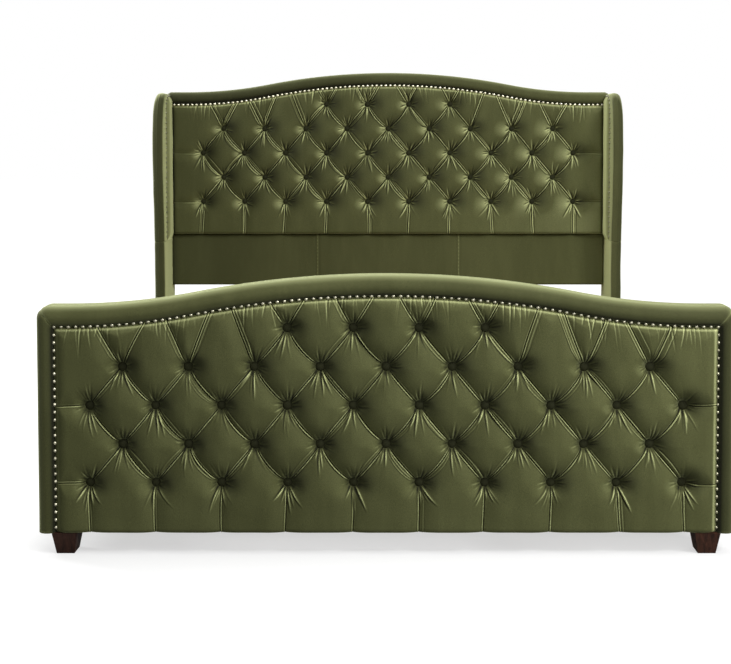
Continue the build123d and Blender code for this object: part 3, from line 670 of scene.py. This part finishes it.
def makeTuftedPad(pad):
    columns = int(2 * pad["half"] / pad["grid"]) + 1
    rows = int((pad["crown"] - crest["rise"] * 0.4 - pad["bottom"]) / pad["grid"]) + 1
    xs = np.linspace(-pad["half"], pad["half"], columns)
    hemRows = pad["hem"] * (1 - np.cos(np.linspace(0, math.pi / 2, 7)))[:-1]  # closer rows round the hem
    share = np.linspace(0, 1, rows)
    z = pad["bottom"] + share[:, None] * (crestLine(xs, pad["crown"]) - pad["bottom"])
    z = z[z[:, 0] > pad["bottom"] + pad["hem"]]
    z = np.vstack([pad["bottom"] + np.tile(hemRows[:, None], (1, columns)), z])
    x = np.tile(xs, (len(z), 1))
    depth, nap = padSurface(pad, xs, x, z)
    points, nap = turnEdges(x, pad["front"] + depth, z, nap, pad["back"])
    addPiece(pad["name"], points, gridFaces(*nap.shape), velvet, [pad["node"]], nap)


buttonShape = {
    "dome": [(0.04, 0.0), (0.28, 0.0003), (0.52, 0.0012), (0.74, 0.0028), (0.9, 0.005), (1.0, 0.0082),
             (0.97, 0.0125)],                                      # share of the radius, and depth
    "depth": 0.0265, "tilt": 0.05, "lift": 0.001, "spin": 28,
    "gather": 0.018, "gathers": 9, "gatherFrom": 0.6,              # small folds round the edge
}


def makeButtons(pad, name, node):
    form = buttonShape
    spin = np.linspace(0, 2 * math.pi, form["spin"], endpoint=False)
    points, faces = [], []
    rng = np.random.default_rng(pad["seed"] + 1)
    for px, pz in pad["places"].values():
        start = len(points)
        tilt, swing = rng.uniform(-form["tilt"], form["tilt"]), rng.uniform(-form["tilt"], form["tilt"])
        lift = rng.uniform(-form["lift"], form["lift"])
        gather = 1 + form["gather"] * np.sin(spin * form["gathers"] + rng.uniform(0, 6))
        for share, drop in form["dome"]:
            ring = pad["button"] * share * (gather if share > form["gatherFrom"] else 1)
            rx, rz = ring * np.cos(spin), ring * np.sin(spin)
            y = pad["front"] + form["depth"] + lift + drop + tilt * rx + swing * rz
            points += joined(px + rx, y, pz + rz).tolist()
        rings = gridFaces(len(form["dome"]), len(spin), True, start)
        faces += [[f[0], f[3], f[2], f[1]] for f in rings]
        faces.append([start + k for k in range(len(spin))])
    addPiece(name, points, faces, buttonVelvet, [node])


measurePad(footPad)
measurePad(headPad)
makeTuftedPad(footPad)
makeTuftedPad(headPad)
makeButtons(footPad, "footboardButtons", "footboard_buttons")
makeButtons(headPad, "headboardButtons", "headboard_buttons")
print("tufted pads and", len(footPad["places"]) + len(headPad["places"]), "buttons")


# rolled borders
roll = {
    "width": 0.050, "depth": 0.092, "corner": 0.028, "swell": 0.0007, "swellSize": 0.16, "swellDepth": 0.03,
    "fill": 0.85, "seam": 0.003, "seamLight": 0.5,                      # dip, and a painted highlight, where two lengths meet at a mitre
    "shade": (0.42, 0.45), "tuckShade": (0.9, 0.28), "tuckPower": 1.3,  # painted shade, darker towards the nail line
    "endTuck": 0.010, "endDrop": 0.5,                                   # the head's roll runs into the wings
}
rollShape = smoothLine([  # out from the nail line, and back from the front of the board
    (0.002, 0.036), (0.0005, 0.022), (0.003, 0.011), (0.010, 0.0035), (0.021, 0.0), (0.032, 0.0012),
    (0.0415, 0.0065), (0.0475, 0.016), (0.0498, 0.028), (0.050, 0.046), (0.050, 0.068), (0.0496, 0.083),
    (0.0465, 0.0905), (0.0405, 0.092),
], 44)
# tones: painted shade along each border, from one end to the other
footTopRoll = {"name": "footboardTopRoll", "node": "footboard_top_border", "seed": 21,
               "seams": (True, True), "capped": (False, False), "tones": (0.02, -0.42)}
rightRoll = {"name": "rightFootboardRoll", "node": "right_footboard_side_border", "seed": 22,
             "seams": (True, False), "capped": (False, True), "tones": (-0.58, -0.58)}
leftRoll = {"name": "leftFootboardRoll", "node": "left_footboard_side_border", "seed": 23,
            "seams": (False, True), "capped": (True, False), "tones": (-0.31, -0.31)}
headTopRoll = {"name": "headboardTopRoll", "node": "headboard_top_border", "seed": 24,
               "seams": (False, False), "capped": (True, True), "tones": (-0.72, -0.10)}


def makeRoll(border, inner, outer, front):
    wide, deep = rollShape[:, 0] / roll["width"], rollShape[:, 1]
    middle = (inner + outer) / 2
    run = lineRun(middle)
    flat = inner[:, None, :] + (outer - inner)[:, None, :] * wide[None, :, None]
    y = np.tile(deep, (len(run), 1))
    swell = ripple(np.tile(run[:, None], (1, len(wide))), y * 3, border["seed"], roll["swellSize"])
    y = y - roll["swell"] * swell * (deep < roll["swellDepth"])
    dip, nap = sewnEnds(run, border["seams"], roll["seam"], roll["seamLight"])
    toCore = np.concatenate([middle[:, None, :] - flat, (roll["depth"] / 2 - y)[..., None]], axis=-1)
    toCore /= np.linalg.norm(toCore, axis=-1, keepdims=True)
    moved = np.concatenate([flat, y[..., None]], axis=-1) + toCore * dip[:, None, None]
    points = joined(moved[..., 0], front + moved[..., 2], moved[..., 1])
    rows, columns = points.shape[:2]
    faces = flipped(gridFaces(rows, columns))
    for wanted, row in zip(border["capped"], (0, rows - 1)):
        if wanted:
            cap = [row * columns + k for k in range(columns)]
            faces.append(cap if row else cap[::-1])
    # painted shade towards the nail line, on top of the border's tones
    (dark, share), (tuckDark, tuckShare) = roll["shade"], roll["tuckShade"]
    shade = dark * np.clip(1 - wide / share, 0, 1)
    shade = shade + tuckDark * np.clip(1 - wide / tuckShare, 0, 1) ** roll["tuckPower"]
    nap = nap + np.interp(run, (0, run[-1]), border["tones"])
    nap = nap[:, None] - shade
    addPiece(border["name"], points, faces, rollVelvet, [border["node"]], nap)


low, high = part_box("footboard_top_border")
sideLow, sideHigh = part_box("right_footboard_side_border")
footHalf, footCrown, footFront, footBottom = sideHigh.x, high.z, low.y, sideLow.z
padHalf, padCrown = sideLow.x, footCrown - roll["width"]
shoulder, padShoulder = footCrown - crest["rise"], padCrown - crest["rise"]
mirrorX = np.array([-1, 1])


def cornerArc(start, end):  # rounded outer corner of the footboard
    turn, radius = np.linspace(start, end, 9), roll["corner"]
    return joined(footHalf - radius + radius * np.cos(turn), shoulder - radius + radius * np.sin(turn))


stations = 1 - (1 - np.linspace(0, 1, 26)) ** 1.6  # closer together at the mitre
xs = np.linspace(-crest["halfSpan"], crest["halfSpan"], 320)
innerCorner = joined(crest["halfSpan"] + (padHalf - crest["halfSpan"]) * stations, padShoulder)
outerCorner = np.vstack([[(crest["halfSpan"], shoulder)], cornerArc(math.pi / 2, math.pi / 4)])
outerCorner = evenLine(outerCorner, stations)
innerTop = np.vstack([(innerCorner * mirrorX)[::-1], crestRun(xs, padCrown)[1:-1], innerCorner])
outerTop = np.vstack([(outerCorner * mirrorX)[::-1], crestRun(xs, footCrown)[1:-1], outerCorner])
makeRoll(footTopRoll, innerTop, outerTop, footFront)

drop = np.linspace(0, 1, 90) ** 1.3
sideInner = joined(padHalf, padShoulder + (footBottom - padShoulder) * drop)
sideOuter = evenLine(np.vstack([cornerArc(math.pi / 4, 0), [(footHalf, footBottom)]]), drop)
makeRoll(rightRoll, sideInner, sideOuter, footFront)
makeRoll(leftRoll, (sideInner * mirrorX)[::-1], (sideOuter * mirrorX)[::-1], footFront)

low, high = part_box("headboard_top_border")
headHalf, headCrown, headFront = high.x, high.z, low.y
xs = np.linspace(-headHalf - roll["endTuck"], headHalf + roll["endTuck"], 340)
headOuter = joined(xs, crestLine(xs, headCrown) - np.maximum(np.abs(xs) - headHalf, 0) * roll["endDrop"])
makeRoll(headTopRoll, crestRun(xs, headCrown - roll["width"]), headOuter, headFront)
print("rolled borders")


# nail heads
nail = {
    "radius": 0.0046, "headRadius": 0.0055, "wingRadius": 0.0044, "height": 0.0036, "spin": 16, "lean": 0.07,
    "spacing": 0.0174, "sideSpacing": 0.0187, "seamDepth": 0.0125, "inset": 0.001,
    "below": 0.019, "above": 0.012, "headEnd": 0.013,  # where the rows start and stop
}
nailHead = [(0.05, 1.0), (0.4, 0.9), (0.7, 0.66), (0.92, 0.28), (1.0, 0.0), (0.96, -0.4)]


def makeNails(name, places, normal, material, seed, radius, dome=nailHead):
    rng = np.random.default_rng(seed)
    spin = np.linspace(0, 2 * math.pi, nail["spin"], endpoint=False)
    points, faces = [], []
    for place in np.asarray(places, float):
        up = np.asarray(normal) + rng.uniform(-nail["lean"], nail["lean"], 3)
        up /= np.linalg.norm(up)
        side = np.cross(up, (0.3, 0.2, 0.93))
        side /= np.linalg.norm(side)
        third = np.cross(up, side)
        start = len(points)
        size = radius * rng.uniform(0.95, 1.05)
        for share, lift in dome:
            ring = place + up * nail["height"] * lift
            ring = ring + size * share * (np.cos(spin)[:, None] * side + np.sin(spin)[:, None] * third)
            points += ring.tolist()
        faces += flipped(gridFaces(len(dome), len(spin), True, start))
        faces.append([start + k for k in range(len(spin))])
    addPiece(name, points, faces, material)


def spacedAlong(line, spacing):
    return evenLine(line, int(round(lineRun(line)[-1] / spacing)) + 1)


def nailBoard(name, row, front, material, seed, radius):  # a row across the front of a board
    places = joined(row[:, 0], front + nail["seamDepth"], row[:, 1])
    makeNails(name, places, (0, -1, 0), material, seed, radius)


xs = np.linspace(-padHalf, padHalf, 400)
topRow = spacedAlong(crestRun(xs, padCrown) + (0, nail["inset"]), nail["spacing"])
sideEnds = joined(padHalf + nail["inset"], (padShoulder - nail["below"], footBottom + nail["above"]))
sideRow = spacedAlong(sideEnds, nail["sideSpacing"])
footRows = np.vstack([topRow, sideRow * mirrorX])
nailBoard("footboardNails", footRows, footFront, footNailMetal, 31, nail["radius"])
nailBoard("footboardRightNails", sideRow, footFront, dimNailMetal, 36, nail["radius"])
xs = np.linspace(-headHalf + nail["headEnd"], headHalf - nail["headEnd"], 400)
topRow = spacedAlong(crestRun(xs, headCrown - roll["width"] + nail["inset"]), nail["spacing"])
nailBoard("headboardNails", topRow, headFront, nailMetal, 32, nail["headRadius"])
print("nail heads")


# plain covered panels
plain = {
    "grid": 0.008, "fill": 0.9, "swell": 0.0006, "swellSize": 0.22, "crownReach": 0.16,
    "rib": 0.0006, "ribWidth": 0.0024, "ribLight": (0.34, 0.1, 0.014),  # the sewn rib, with a painted highlight along it, and its stitches
    # a groove beside the rib, with painted shade in it
    "groove": 0.0010, "grooveAt": 0.007, "grooveWidth": 0.002, "grooveShade": (0.12, 0.0018),
}
lowerPanel = {
    "name": "headboardLowerPanel", "node": "headboard_lower_panel", "seed": 41, "crested": False,
    "facing": -1, "seams": (-0.274, 0.274), "crown": 0.0, "edge": 0.008,
    # tone: painted shade, darkest in the left corner, and painted light at the right end
    "tone": ((-1, -0.8), (-0.97, -0.45), (-0.5, -0.29), (0, -0.2), (0.5, -0.14), (0.9, -0.04), (1, 0.14)),
}
footBack = {
    "name": "footboardBack", "node": "footboard_back_cover", "seed": 42, "crested": True, "facing": 1,
    "seams": (), "crown": 0.002, "edge": 0.004, "tone": ((-1, -0.08), (1, -0.08)),
}
headBack = dict(footBack, name="headboardBack", node="headboard_back_cover", seed=43, seams=(-0.274, 0.274))


def makePanel(panel):
    low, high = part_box(panel["node"])
    half, bottom, edge = high.x, low.z, panel["edge"]
    front, back = (high.y, low.y) if panel["facing"] > 0 else (low.y, high.y)

    def topAt(x):
        return crestLine(x, high.z) if panel["crested"] else x * 0 + high.z

    marks = [np.linspace(-half, half, int(2 * half / plain["grid"]))]
    marks += [s + np.linspace(-0.010, 0.010, 21) for s in panel["seams"]]
    easing = edge * (1 - np.cos(np.linspace(0, math.pi / 2, 6)))  # closer lines round the edge
    marks += [half - easing, easing - half]
    xs = np.unique(np.round(np.concatenate(marks), 5))
    share = np.linspace(0, 1, int(0.6 / plain["grid"]))
    share = np.unique(np.concatenate([share, easing / 0.4, 1 - easing / 0.4]))
    x = np.tile(xs, (len(share), 1))
    z = bottom + share[:, None] * (topAt(xs) - bottom)
    rim = np.minimum(np.minimum(half - np.abs(x), z - bottom), topAt(x) - z)
    depth = edgeFall(rim, edge)
    nap = toneAcross(x, half, panel["tone"])
    light, stitch, stitchStep = plain["ribLight"]
    shade, shadeWidth = plain["grooveShade"]
    for place in panel["seams"]:
        strip = np.abs(x - place)
        rib = hump(strip, plain["ribWidth"])
        beside = strip - plain["grooveAt"]
        depth = depth + plain["groove"] * hump(beside, plain["grooveWidth"]) - plain["rib"] * rib
        # painted highlight on the rib, with its stitches, and painted shade beside the groove
        nap = nap + rib * (light + stitch * np.sin(z * 6.28 / stitchStep)) - shade * hump(beside, shadeWidth)
    depth = depth + plain["swell"] * (1 + ripple(x, z, panel["seed"], plain["swellSize"]) * 0.5)
    depth = depth + panel["crown"] * (1 - np.clip(rim / plain["crownReach"], 0, 1)) ** 2
    depth = np.clip(depth, 0, abs(back - front) - 0.0005)
    points, nap = turnEdges(x, front - panel["facing"] * depth, z, nap, back)
    faces = gridFaces(*nap.shape)
    if panel["facing"] > 0:
        faces = flipped(faces)
    addPiece(panel["name"], points, faces, velvet, [panel["node"]], nap)


for panel in (lowerPanel, footBack, headBack):
    makePanel(panel)
print("plain panels")


# wings and posts
wing = {
    "swellStart": 0.520, "swellDrop": 0.200, "faceRadius": 0.440, "browRadius": 0.120,
    "edge": 0.019, "puff": 0.0006, "swell": 0.0007, "swellSize": 0.18, "backDrop": 0.004, "fill": 0.8,
    "seamDip": 0.0008, "seamLight": 0.14, "seamGap": 0.0003, "seamReach": 0.03,
    "flank": (1.0, 0.985, 0.75, 0.5, 0.3, 0.16),                         # shares of the way to the back edge
    "padCorner": 0.060, "padPuff": 0.0115, "padRise": 0.034, "padSwell": 0.0006, "padFill": 0.7,
    "wingTone": {1: -0.42, -1: 0.10}, "postTone": {1: -0.05, -1: 0.42},  # painted light and shade on the inner faces
    "tones": {1: (-0.24, -0.45), -1: (-0.53, -0.52)}, "outerTone": -0.28,  # painted shade across the front, and outside
    "padTone": {1: (0.24, 0.10, 0.14), -1: (0.26, 0.12, 0.26)},          # painted light from the nails to the headboard
}
bothSides = ((1, "right"), (-1, "left"))
low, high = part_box("right_wing_cover")
wing.update(inner=low.x, outer=high.x, swellFront=low.y, back=high.y, seam=low.z, top=high.z)
low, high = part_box("right_post_cover")
wing.update(postFront=low.y, foot=low.z, swellHeight=wing["top"] - wing["swellDrop"])


def wingEdge():  # front of the wing from the floor, over the brow to the back
    postFront, swellFront = wing["postFront"], wing["swellFront"]
    start, swellHeight = wing["swellStart"], wing["swellHeight"]
    faceRadius, browRadius = wing["faceRadius"], wing["browRadius"]
    half, tall = (postFront - swellFront) / 2, (swellHeight - start) / 2
    radius = (half**2 + tall**2) / (2 * half)
    rise = np.linspace(0, tall, 40)
    bend = radius - np.sqrt(radius**2 - rise**2)
    lower = joined(postFront - bend, start + rise)
    upper = joined(swellFront + bend, swellHeight - rise)[::-1]
    brow = math.asin((wing["top"] - swellHeight - browRadius) / (faceRadius - browRadius))
    turn = np.linspace(0, brow, 20)
    face = joined(swellFront + faceRadius * (1 - np.cos(turn)), swellHeight + faceRadius * np.sin(turn))
    turn = np.linspace(brow, math.pi / 2, 30)
    centre = face[-1] + browRadius * np.array((math.cos(brow), -math.sin(brow)))
    over = joined(centre[0] - browRadius * np.cos(turn), centre[1] + browRadius * np.sin(turn))
    sole, tip = (postFront, wing["foot"]), (wing["back"], wing["top"])
    return np.vstack([[sole], lower, upper[1:], face[1:], over[1:], [tip]])


def makeWingShell(name, node, edge, spine, side, seed, seams, innerTone):
    inner, outer, bend, flank = wing["inner"], wing["outer"], wing["edge"], wing["flank"]
    middle = (inner + outer) / 2
    toSpine = spine - edge
    length = np.linalg.norm(toSpine, axis=1)
    toSpine = toSpine / np.maximum(length, 1e-6)[:, None]

    # from the back along the inner face, round the front and back along the outer face
    turn = np.linspace(0, math.pi / 2, 7)
    rounded = [(bend * (1 - math.sin(t)), inner + bend * (1 - math.cos(t))) for t in turn]
    rounded += [(-wing["puff"], middle)] + [(d, inner + outer - x) for d, x in rounded[::-1]]
    back = [length * share for share in flank]
    back = np.stack(back + [np.minimum(d, length * 0.12) for d, x in rounded] + back[::-1], axis=1)
    x = np.array([inner] * len(flank) + [x for d, x in rounded] + [outer] * len(flank))
    x = np.tile(x, (len(edge), 1))
    yz = edge[:, None, :] + toSpine[:, None, :] * back[..., None]
    dip, nap = sewnEnds(lineRun(edge), seams, wing["seamDip"], wing["seamLight"])
    soft = wing["swell"] * ripple(yz[..., 0] + x, yz[..., 1], seed, wing["swellSize"])
    faceSide = np.where(x < middle - 0.012, 1, np.where(x > middle + 0.012, -1, 0))
    x = x + faceSide * (dip[:, None] + np.abs(soft))
    yz = yz + (toSpine * dip[:, None])[:, None, :] * np.clip(1 - back / wing["seamReach"], 0, 1)[..., None]
    faces = tubeFaces(*x.shape)
    if side < 0:
        faces = flipped(faces)
    turned = np.interp(np.arange(len(rounded)), (0, 3, len(rounded)), (innerTone, *wing["tones"][side]))
    tones = [innerTone] * len(flank) + list(turned) + [wing["outerTone"]] * len(flank)
    points = joined(side * x, yz[..., 0], yz[..., 1])
    nap = nap[:, None] + np.array(tones)
    addPiece(name, points, faces, wingVelvet, [node], nap)


def makeWingPad(name, node, side, seed):
    low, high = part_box(node)
    corner = wing["padCorner"]
    zs = low.z + (high.z - low.z) * np.sin(np.linspace(0, math.pi / 2, 110))
    over = np.clip(zs - high.z + corner, 0, corner)
    fronts = low.y + corner - np.sqrt(corner**2 - over**2)
    across = (1 - np.cos(np.linspace(0, math.pi, 30))) / 2
    y = fronts[:, None] + (high.y - fronts)[:, None] * across
    z = np.tile(zs[:, None], (1, len(across)))
    rimGap = np.minimum(np.minimum(y - fronts[:, None], high.y + 0.02 - y), np.minimum(z - low.z, high.z - z))
    puff = wing["padPuff"] * (1 - (1 - np.clip(rimGap / wing["padRise"], 0, 1)) ** 2.4)
    puff = puff + wing["padSwell"] * ripple(y, z, seed, 0.15) * np.clip(rimGap / 0.02, 0, 1)
    x = wing["inner"] + 0.001 - puff
    nap = np.tile(np.interp(across, (0.25, 0.6, 1), wing["padTone"][side]), (len(zs), 1))
    faces = gridFaces(*x.shape)
    if side > 0:
        faces = flipped(faces)
    addPiece(name, joined(side * x, y, z), faces, wingVelvet, [node], nap)
    rim = joined(fronts, zs)[zs > low.z + 0.008]
    return np.vstack([rim, [(high.y - 0.01, high.z)]])  # the line that its nails follow


edge = evenLine(wingEdge(), 900)
upperEdge = edge[edge[:, 1] >= wing["seam"]]
lowerEdge = edge[(edge[:, 1] < wing["seam"]) & (edge[:, 0] < wing["back"] - 0.1)]
upperCount, lowerCount = len(upperEdge), len(lowerEdge)
closer = [np.arange(0, 12), np.arange(12, upperCount, 3), [upperCount - 1]]  # every row next to the seam
upperEdge = upperEdge[np.unique(np.concatenate(closer))]
closer = [np.arange(0, lowerCount, 4), np.arange(lowerCount - 12, lowerCount)]
lowerEdge = lowerEdge[np.unique(np.concatenate(closer))]
upperEdge[0, 1] = wing["seam"] + wing["seamGap"]
lowerEdge[-1, 1] = wing["seam"] - wing["seamGap"]
share = lineRun(upperEdge) / lineRun(upperEdge)[-1]
upperSpine = joined(wing["back"], wing["seam"] + (wing["top"] - wing["backDrop"] - wing["seam"]) * share)
lowerSpine = joined(wing["back"], lowerEdge[:, 1])
for side, word in bothSides:
    makeWingShell(word + "WingCover", word + "_wing_cover", upperEdge, upperSpine, side, 51 + side,
                  (True, False), wing["wingTone"][side])
    makeWingShell(word + "PostCover", word + "_post_cover", lowerEdge, lowerSpine, side, 54 + side,
                  (False, True), wing["postTone"][side])
for side, word in bothSides:
    nailLine = makeWingPad(word + "WingPad", word + "_wing_inner_pad", side, 57 + side)
    row = spacedAlong(nailLine, nail["sideSpacing"])
    places = joined(side * (wing["inner"] - 0.0005), row[:, 0] - 0.004, row[:, 1])
    makeNails(word + "WingNails", places, (-side, 0, 0), wingNailMetal, 33 + side, nail["wingRadius"])
print("wings and posts")


# side rails
rail = {
    "bend": 0.011, "swell": 0.0012, "swellSize": 0.3, "fill": 0.85,
    "lap": 0.001, "under": 0.0012, "bulge": 0.0008,
}


def makeRail(name, node, side):
    low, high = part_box(node)
    inner, outer = min(abs(low.x), abs(high.x)) - rail["under"], max(abs(low.x), abs(high.x))
    bend, tall = rail["bend"], high.z - low.z
    turn = np.linspace(0, math.pi / 2, 6)
    section = [(inner, low.z + 0.0005), (inner + 0.012, low.z)]
    section += [(outer - bend + bend * math.sin(t), low.z + bend - bend * math.cos(t)) for t in turn]
    section += [(outer + rail["bulge"], low.z + tall * s) for s in (0.2, 0.4, 0.6, 0.8)]
    section += [(outer - bend + bend * math.cos(t), high.z - bend + bend * math.sin(t)) for t in turn]
    section += [(inner + bend - bend * math.sin(t), high.z - bend + bend * math.cos(t)) for t in turn]
    section += [(inner, low.z + tall * s) for s in (0.75, 0.5, 0.25)]
    flat = np.asarray(section)
    ys = np.linspace(low.y, high.y + rail["lap"], 150)  # laps over the end of the board
    x, z = np.tile(flat[:, 0], (len(ys), 1)), np.tile(flat[:, 1], (len(ys), 1))
    y = np.tile(ys[:, None], (1, len(flat)))
    swell = rail["swell"] * ripple(y, z * 2, 60 + side, rail["swellSize"])
    x = x + np.where(x > outer - 0.004, swell * 0.6, 0)
    z = z + np.where(z > high.z - 0.004, swell * 0.4 - 0.0005, 0)
    faces = tubeFaces(*x.shape)
    if side > 0:
        faces = flipped(faces)
    addPiece(name, joined(side * x, y, z), faces, velvet, [node])


for side, word in bothSides:
    makeRail(word + "RailCover", word + "_rail_cover", side)
print("side rails")


# screws that hold each slat down on both ledgers and on the centre beam
slatScrew = {
    "radius": 0.0045,
    "head": [(0.05, 0.04), (0.34, 0.05), (0.42, 0.21), (0.7, 0.25), (0.93, 0.16), (1.0, 0.02), (0.96, -0.2)],
}
low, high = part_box("right_slat_ledger")
ledgerMiddle = (low.x + high.x) / 2
places = []
for name in slatNames:
    low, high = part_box(name)
    places += [(x, (low.y + high.y) / 2, high.z) for x in (-ledgerMiddle, 0, ledgerMiddle)]
makeNails("slatScrews", places, (0, 0, 1), steel, 61, slatScrew["radius"], slatScrew["head"])
print(len(places), "slat screws")


# floor, light and camera
stage = {
    "floor": (0.3, 0.3, 0.3, 1), "roughness": 0.9, "reach": 30, "ambient": 0.08,
    "lift": 0.588, "shadowHalf": (0.80, 1.10, 0), "shadowFade": (3.0, 1.0, 0), "fadeSpan": (-0.04, 0.5),
}
reach = stage["reach"]
mesh = bpy.data.meshes.new("paleFloor")
corners = [(-reach, -reach, 0), (reach, -reach, 0), (reach, reach, 0), (-reach, reach, 0)]
mesh.from_pydata(corners, [], [(0, 1, 2, 3)])
floor = bpy.data.objects.new("paleFloor", mesh)
scene.collection.objects.link(floor)
floorPaint = bpy.data.materials.new("floorPaint")
floorPaint.use_nodes = True
tree = floorPaint.node_tree
shader = tree.nodes["Principled BSDF"].inputs
shader["Base Color"].default_value = stage["floor"]
shader["Roughness"].default_value = stage["roughness"]
shader["Specular IOR Level"].default_value = 0.0
shader["Emission Color"].default_value = (1, 1, 1, 1)
where = addNode(tree, "ShaderNodeTexCoord").outputs["Object"]
where = addNode(tree, "ShaderNodeVectorMath", {0: where}, operation="ABSOLUTE").outputs[0]
where = vectorCalc(tree, "SUBTRACT", where, stage["shadowHalf"])
where = vectorCalc(tree, "MULTIPLY", where, stage["shadowFade"])
where = addNode(tree, "ShaderNodeSeparateXYZ", {0: where}).outputs
away = calc(tree, "MAXIMUM", where[0], where[1])
paler = spread(tree, away, *stage["fadeSpan"], stage["lift"], 1.0)  # painted light: white away from the bed, which fills the bed's cast shadow outside its footprint
cameraRay = addNode(tree, "ShaderNodeLightPath").outputs["Is Camera Ray"]
tree.links.new(calc(tree, "MULTIPLY", cameraRay, paler), shader["Emission Strength"])
mesh.materials.append(floorPaint)

world = bpy.data.worlds.new("studio")
world.use_nodes = True
scene.world = world
tree = world.node_tree
tree.nodes.clear()
rays = addNode(tree, "ShaderNodeLightPath").outputs
seen = calc(tree, "MAXIMUM", rays["Is Camera Ray"], rays["Is Glossy Ray"])
seen = calc(tree, "MAXIMUM", seen, rays["Is Transmission Ray"])
soft = addNode(tree, "ShaderNodeBackground", {"Color": (1, 1, 1, 1), "Strength": stage["ambient"]})
white = addNode(tree, "ShaderNodeBackground", {"Color": (1, 1, 1, 1), "Strength": 1.0})
choice = addNode(tree, "ShaderNodeMixShader", {0: seen, 1: soft.outputs[0], 2: white.outputs[0]})
addNode(tree, "ShaderNodeOutputWorld", {"Surface": choice.outputs[0]})

lamps = {
    "keyPanel": {"at": (2.3, -2.9, 3.0), "to": (0, -0.2, 0.5), "size": (1.3, 1.0), "power": 128},
    "frontPanel": {"at": (1.3, -3.3, 1.7), "to": (0.1, 0.2, 0.6), "size": (1.0, 1.0), "power": 28},
    "topPanel": {"at": (0.2, -1.6, 3.0), "to": (0.1, -1.0, 0.3), "size": (2.4, 1.0), "power": 32},
    "sidePanel": {"at": (-3.2, 0.75, 2.6), "to": (0.84, 0.95, 0.85), "size": (1.2, 1.2), "power": 110},
    "backPanel": {"at": (-1.6, 4.6, 3.0), "to": (0, 0.8, 0.6), "size": (2.0, 2.0), "power": 60},
}
for name, lamp in lamps.items():
    light = bpy.data.lights.new(name, "AREA")
    light.shape = "RECTANGLE"
    light.size, light.size_y = lamp["size"]
    light.energy = lamp["power"]
    holder = bpy.data.objects.new(name, light)
    scene.collection.objects.link(holder)
    holder.location = lamp["at"]
    aim = Vector(lamp["to"]) - Vector(lamp["at"])
    holder.rotation_euler = aim.to_track_quat("-Z", "Y").to_euler()

view = {"at": (0.012, -4.517, 1.002), "down": 3.06, "lens": 70.72, "sensor": 36, "shift": (-0.0351, -0.16)}
lens = bpy.data.cameras.new("photoCamera")
lens.lens = view["lens"]
lens.sensor_width = view["sensor"]
lens.shift_x, lens.shift_y = view["shift"]
camera = bpy.data.objects.new("photoCamera", lens)
scene.collection.objects.link(camera)
camera.location = view["at"]
camera.rotation_euler = (math.radians(90 - view["down"]), 0, 0)
scene.camera = camera
scene.view_settings.view_transform = "Standard"
print("stage ready")
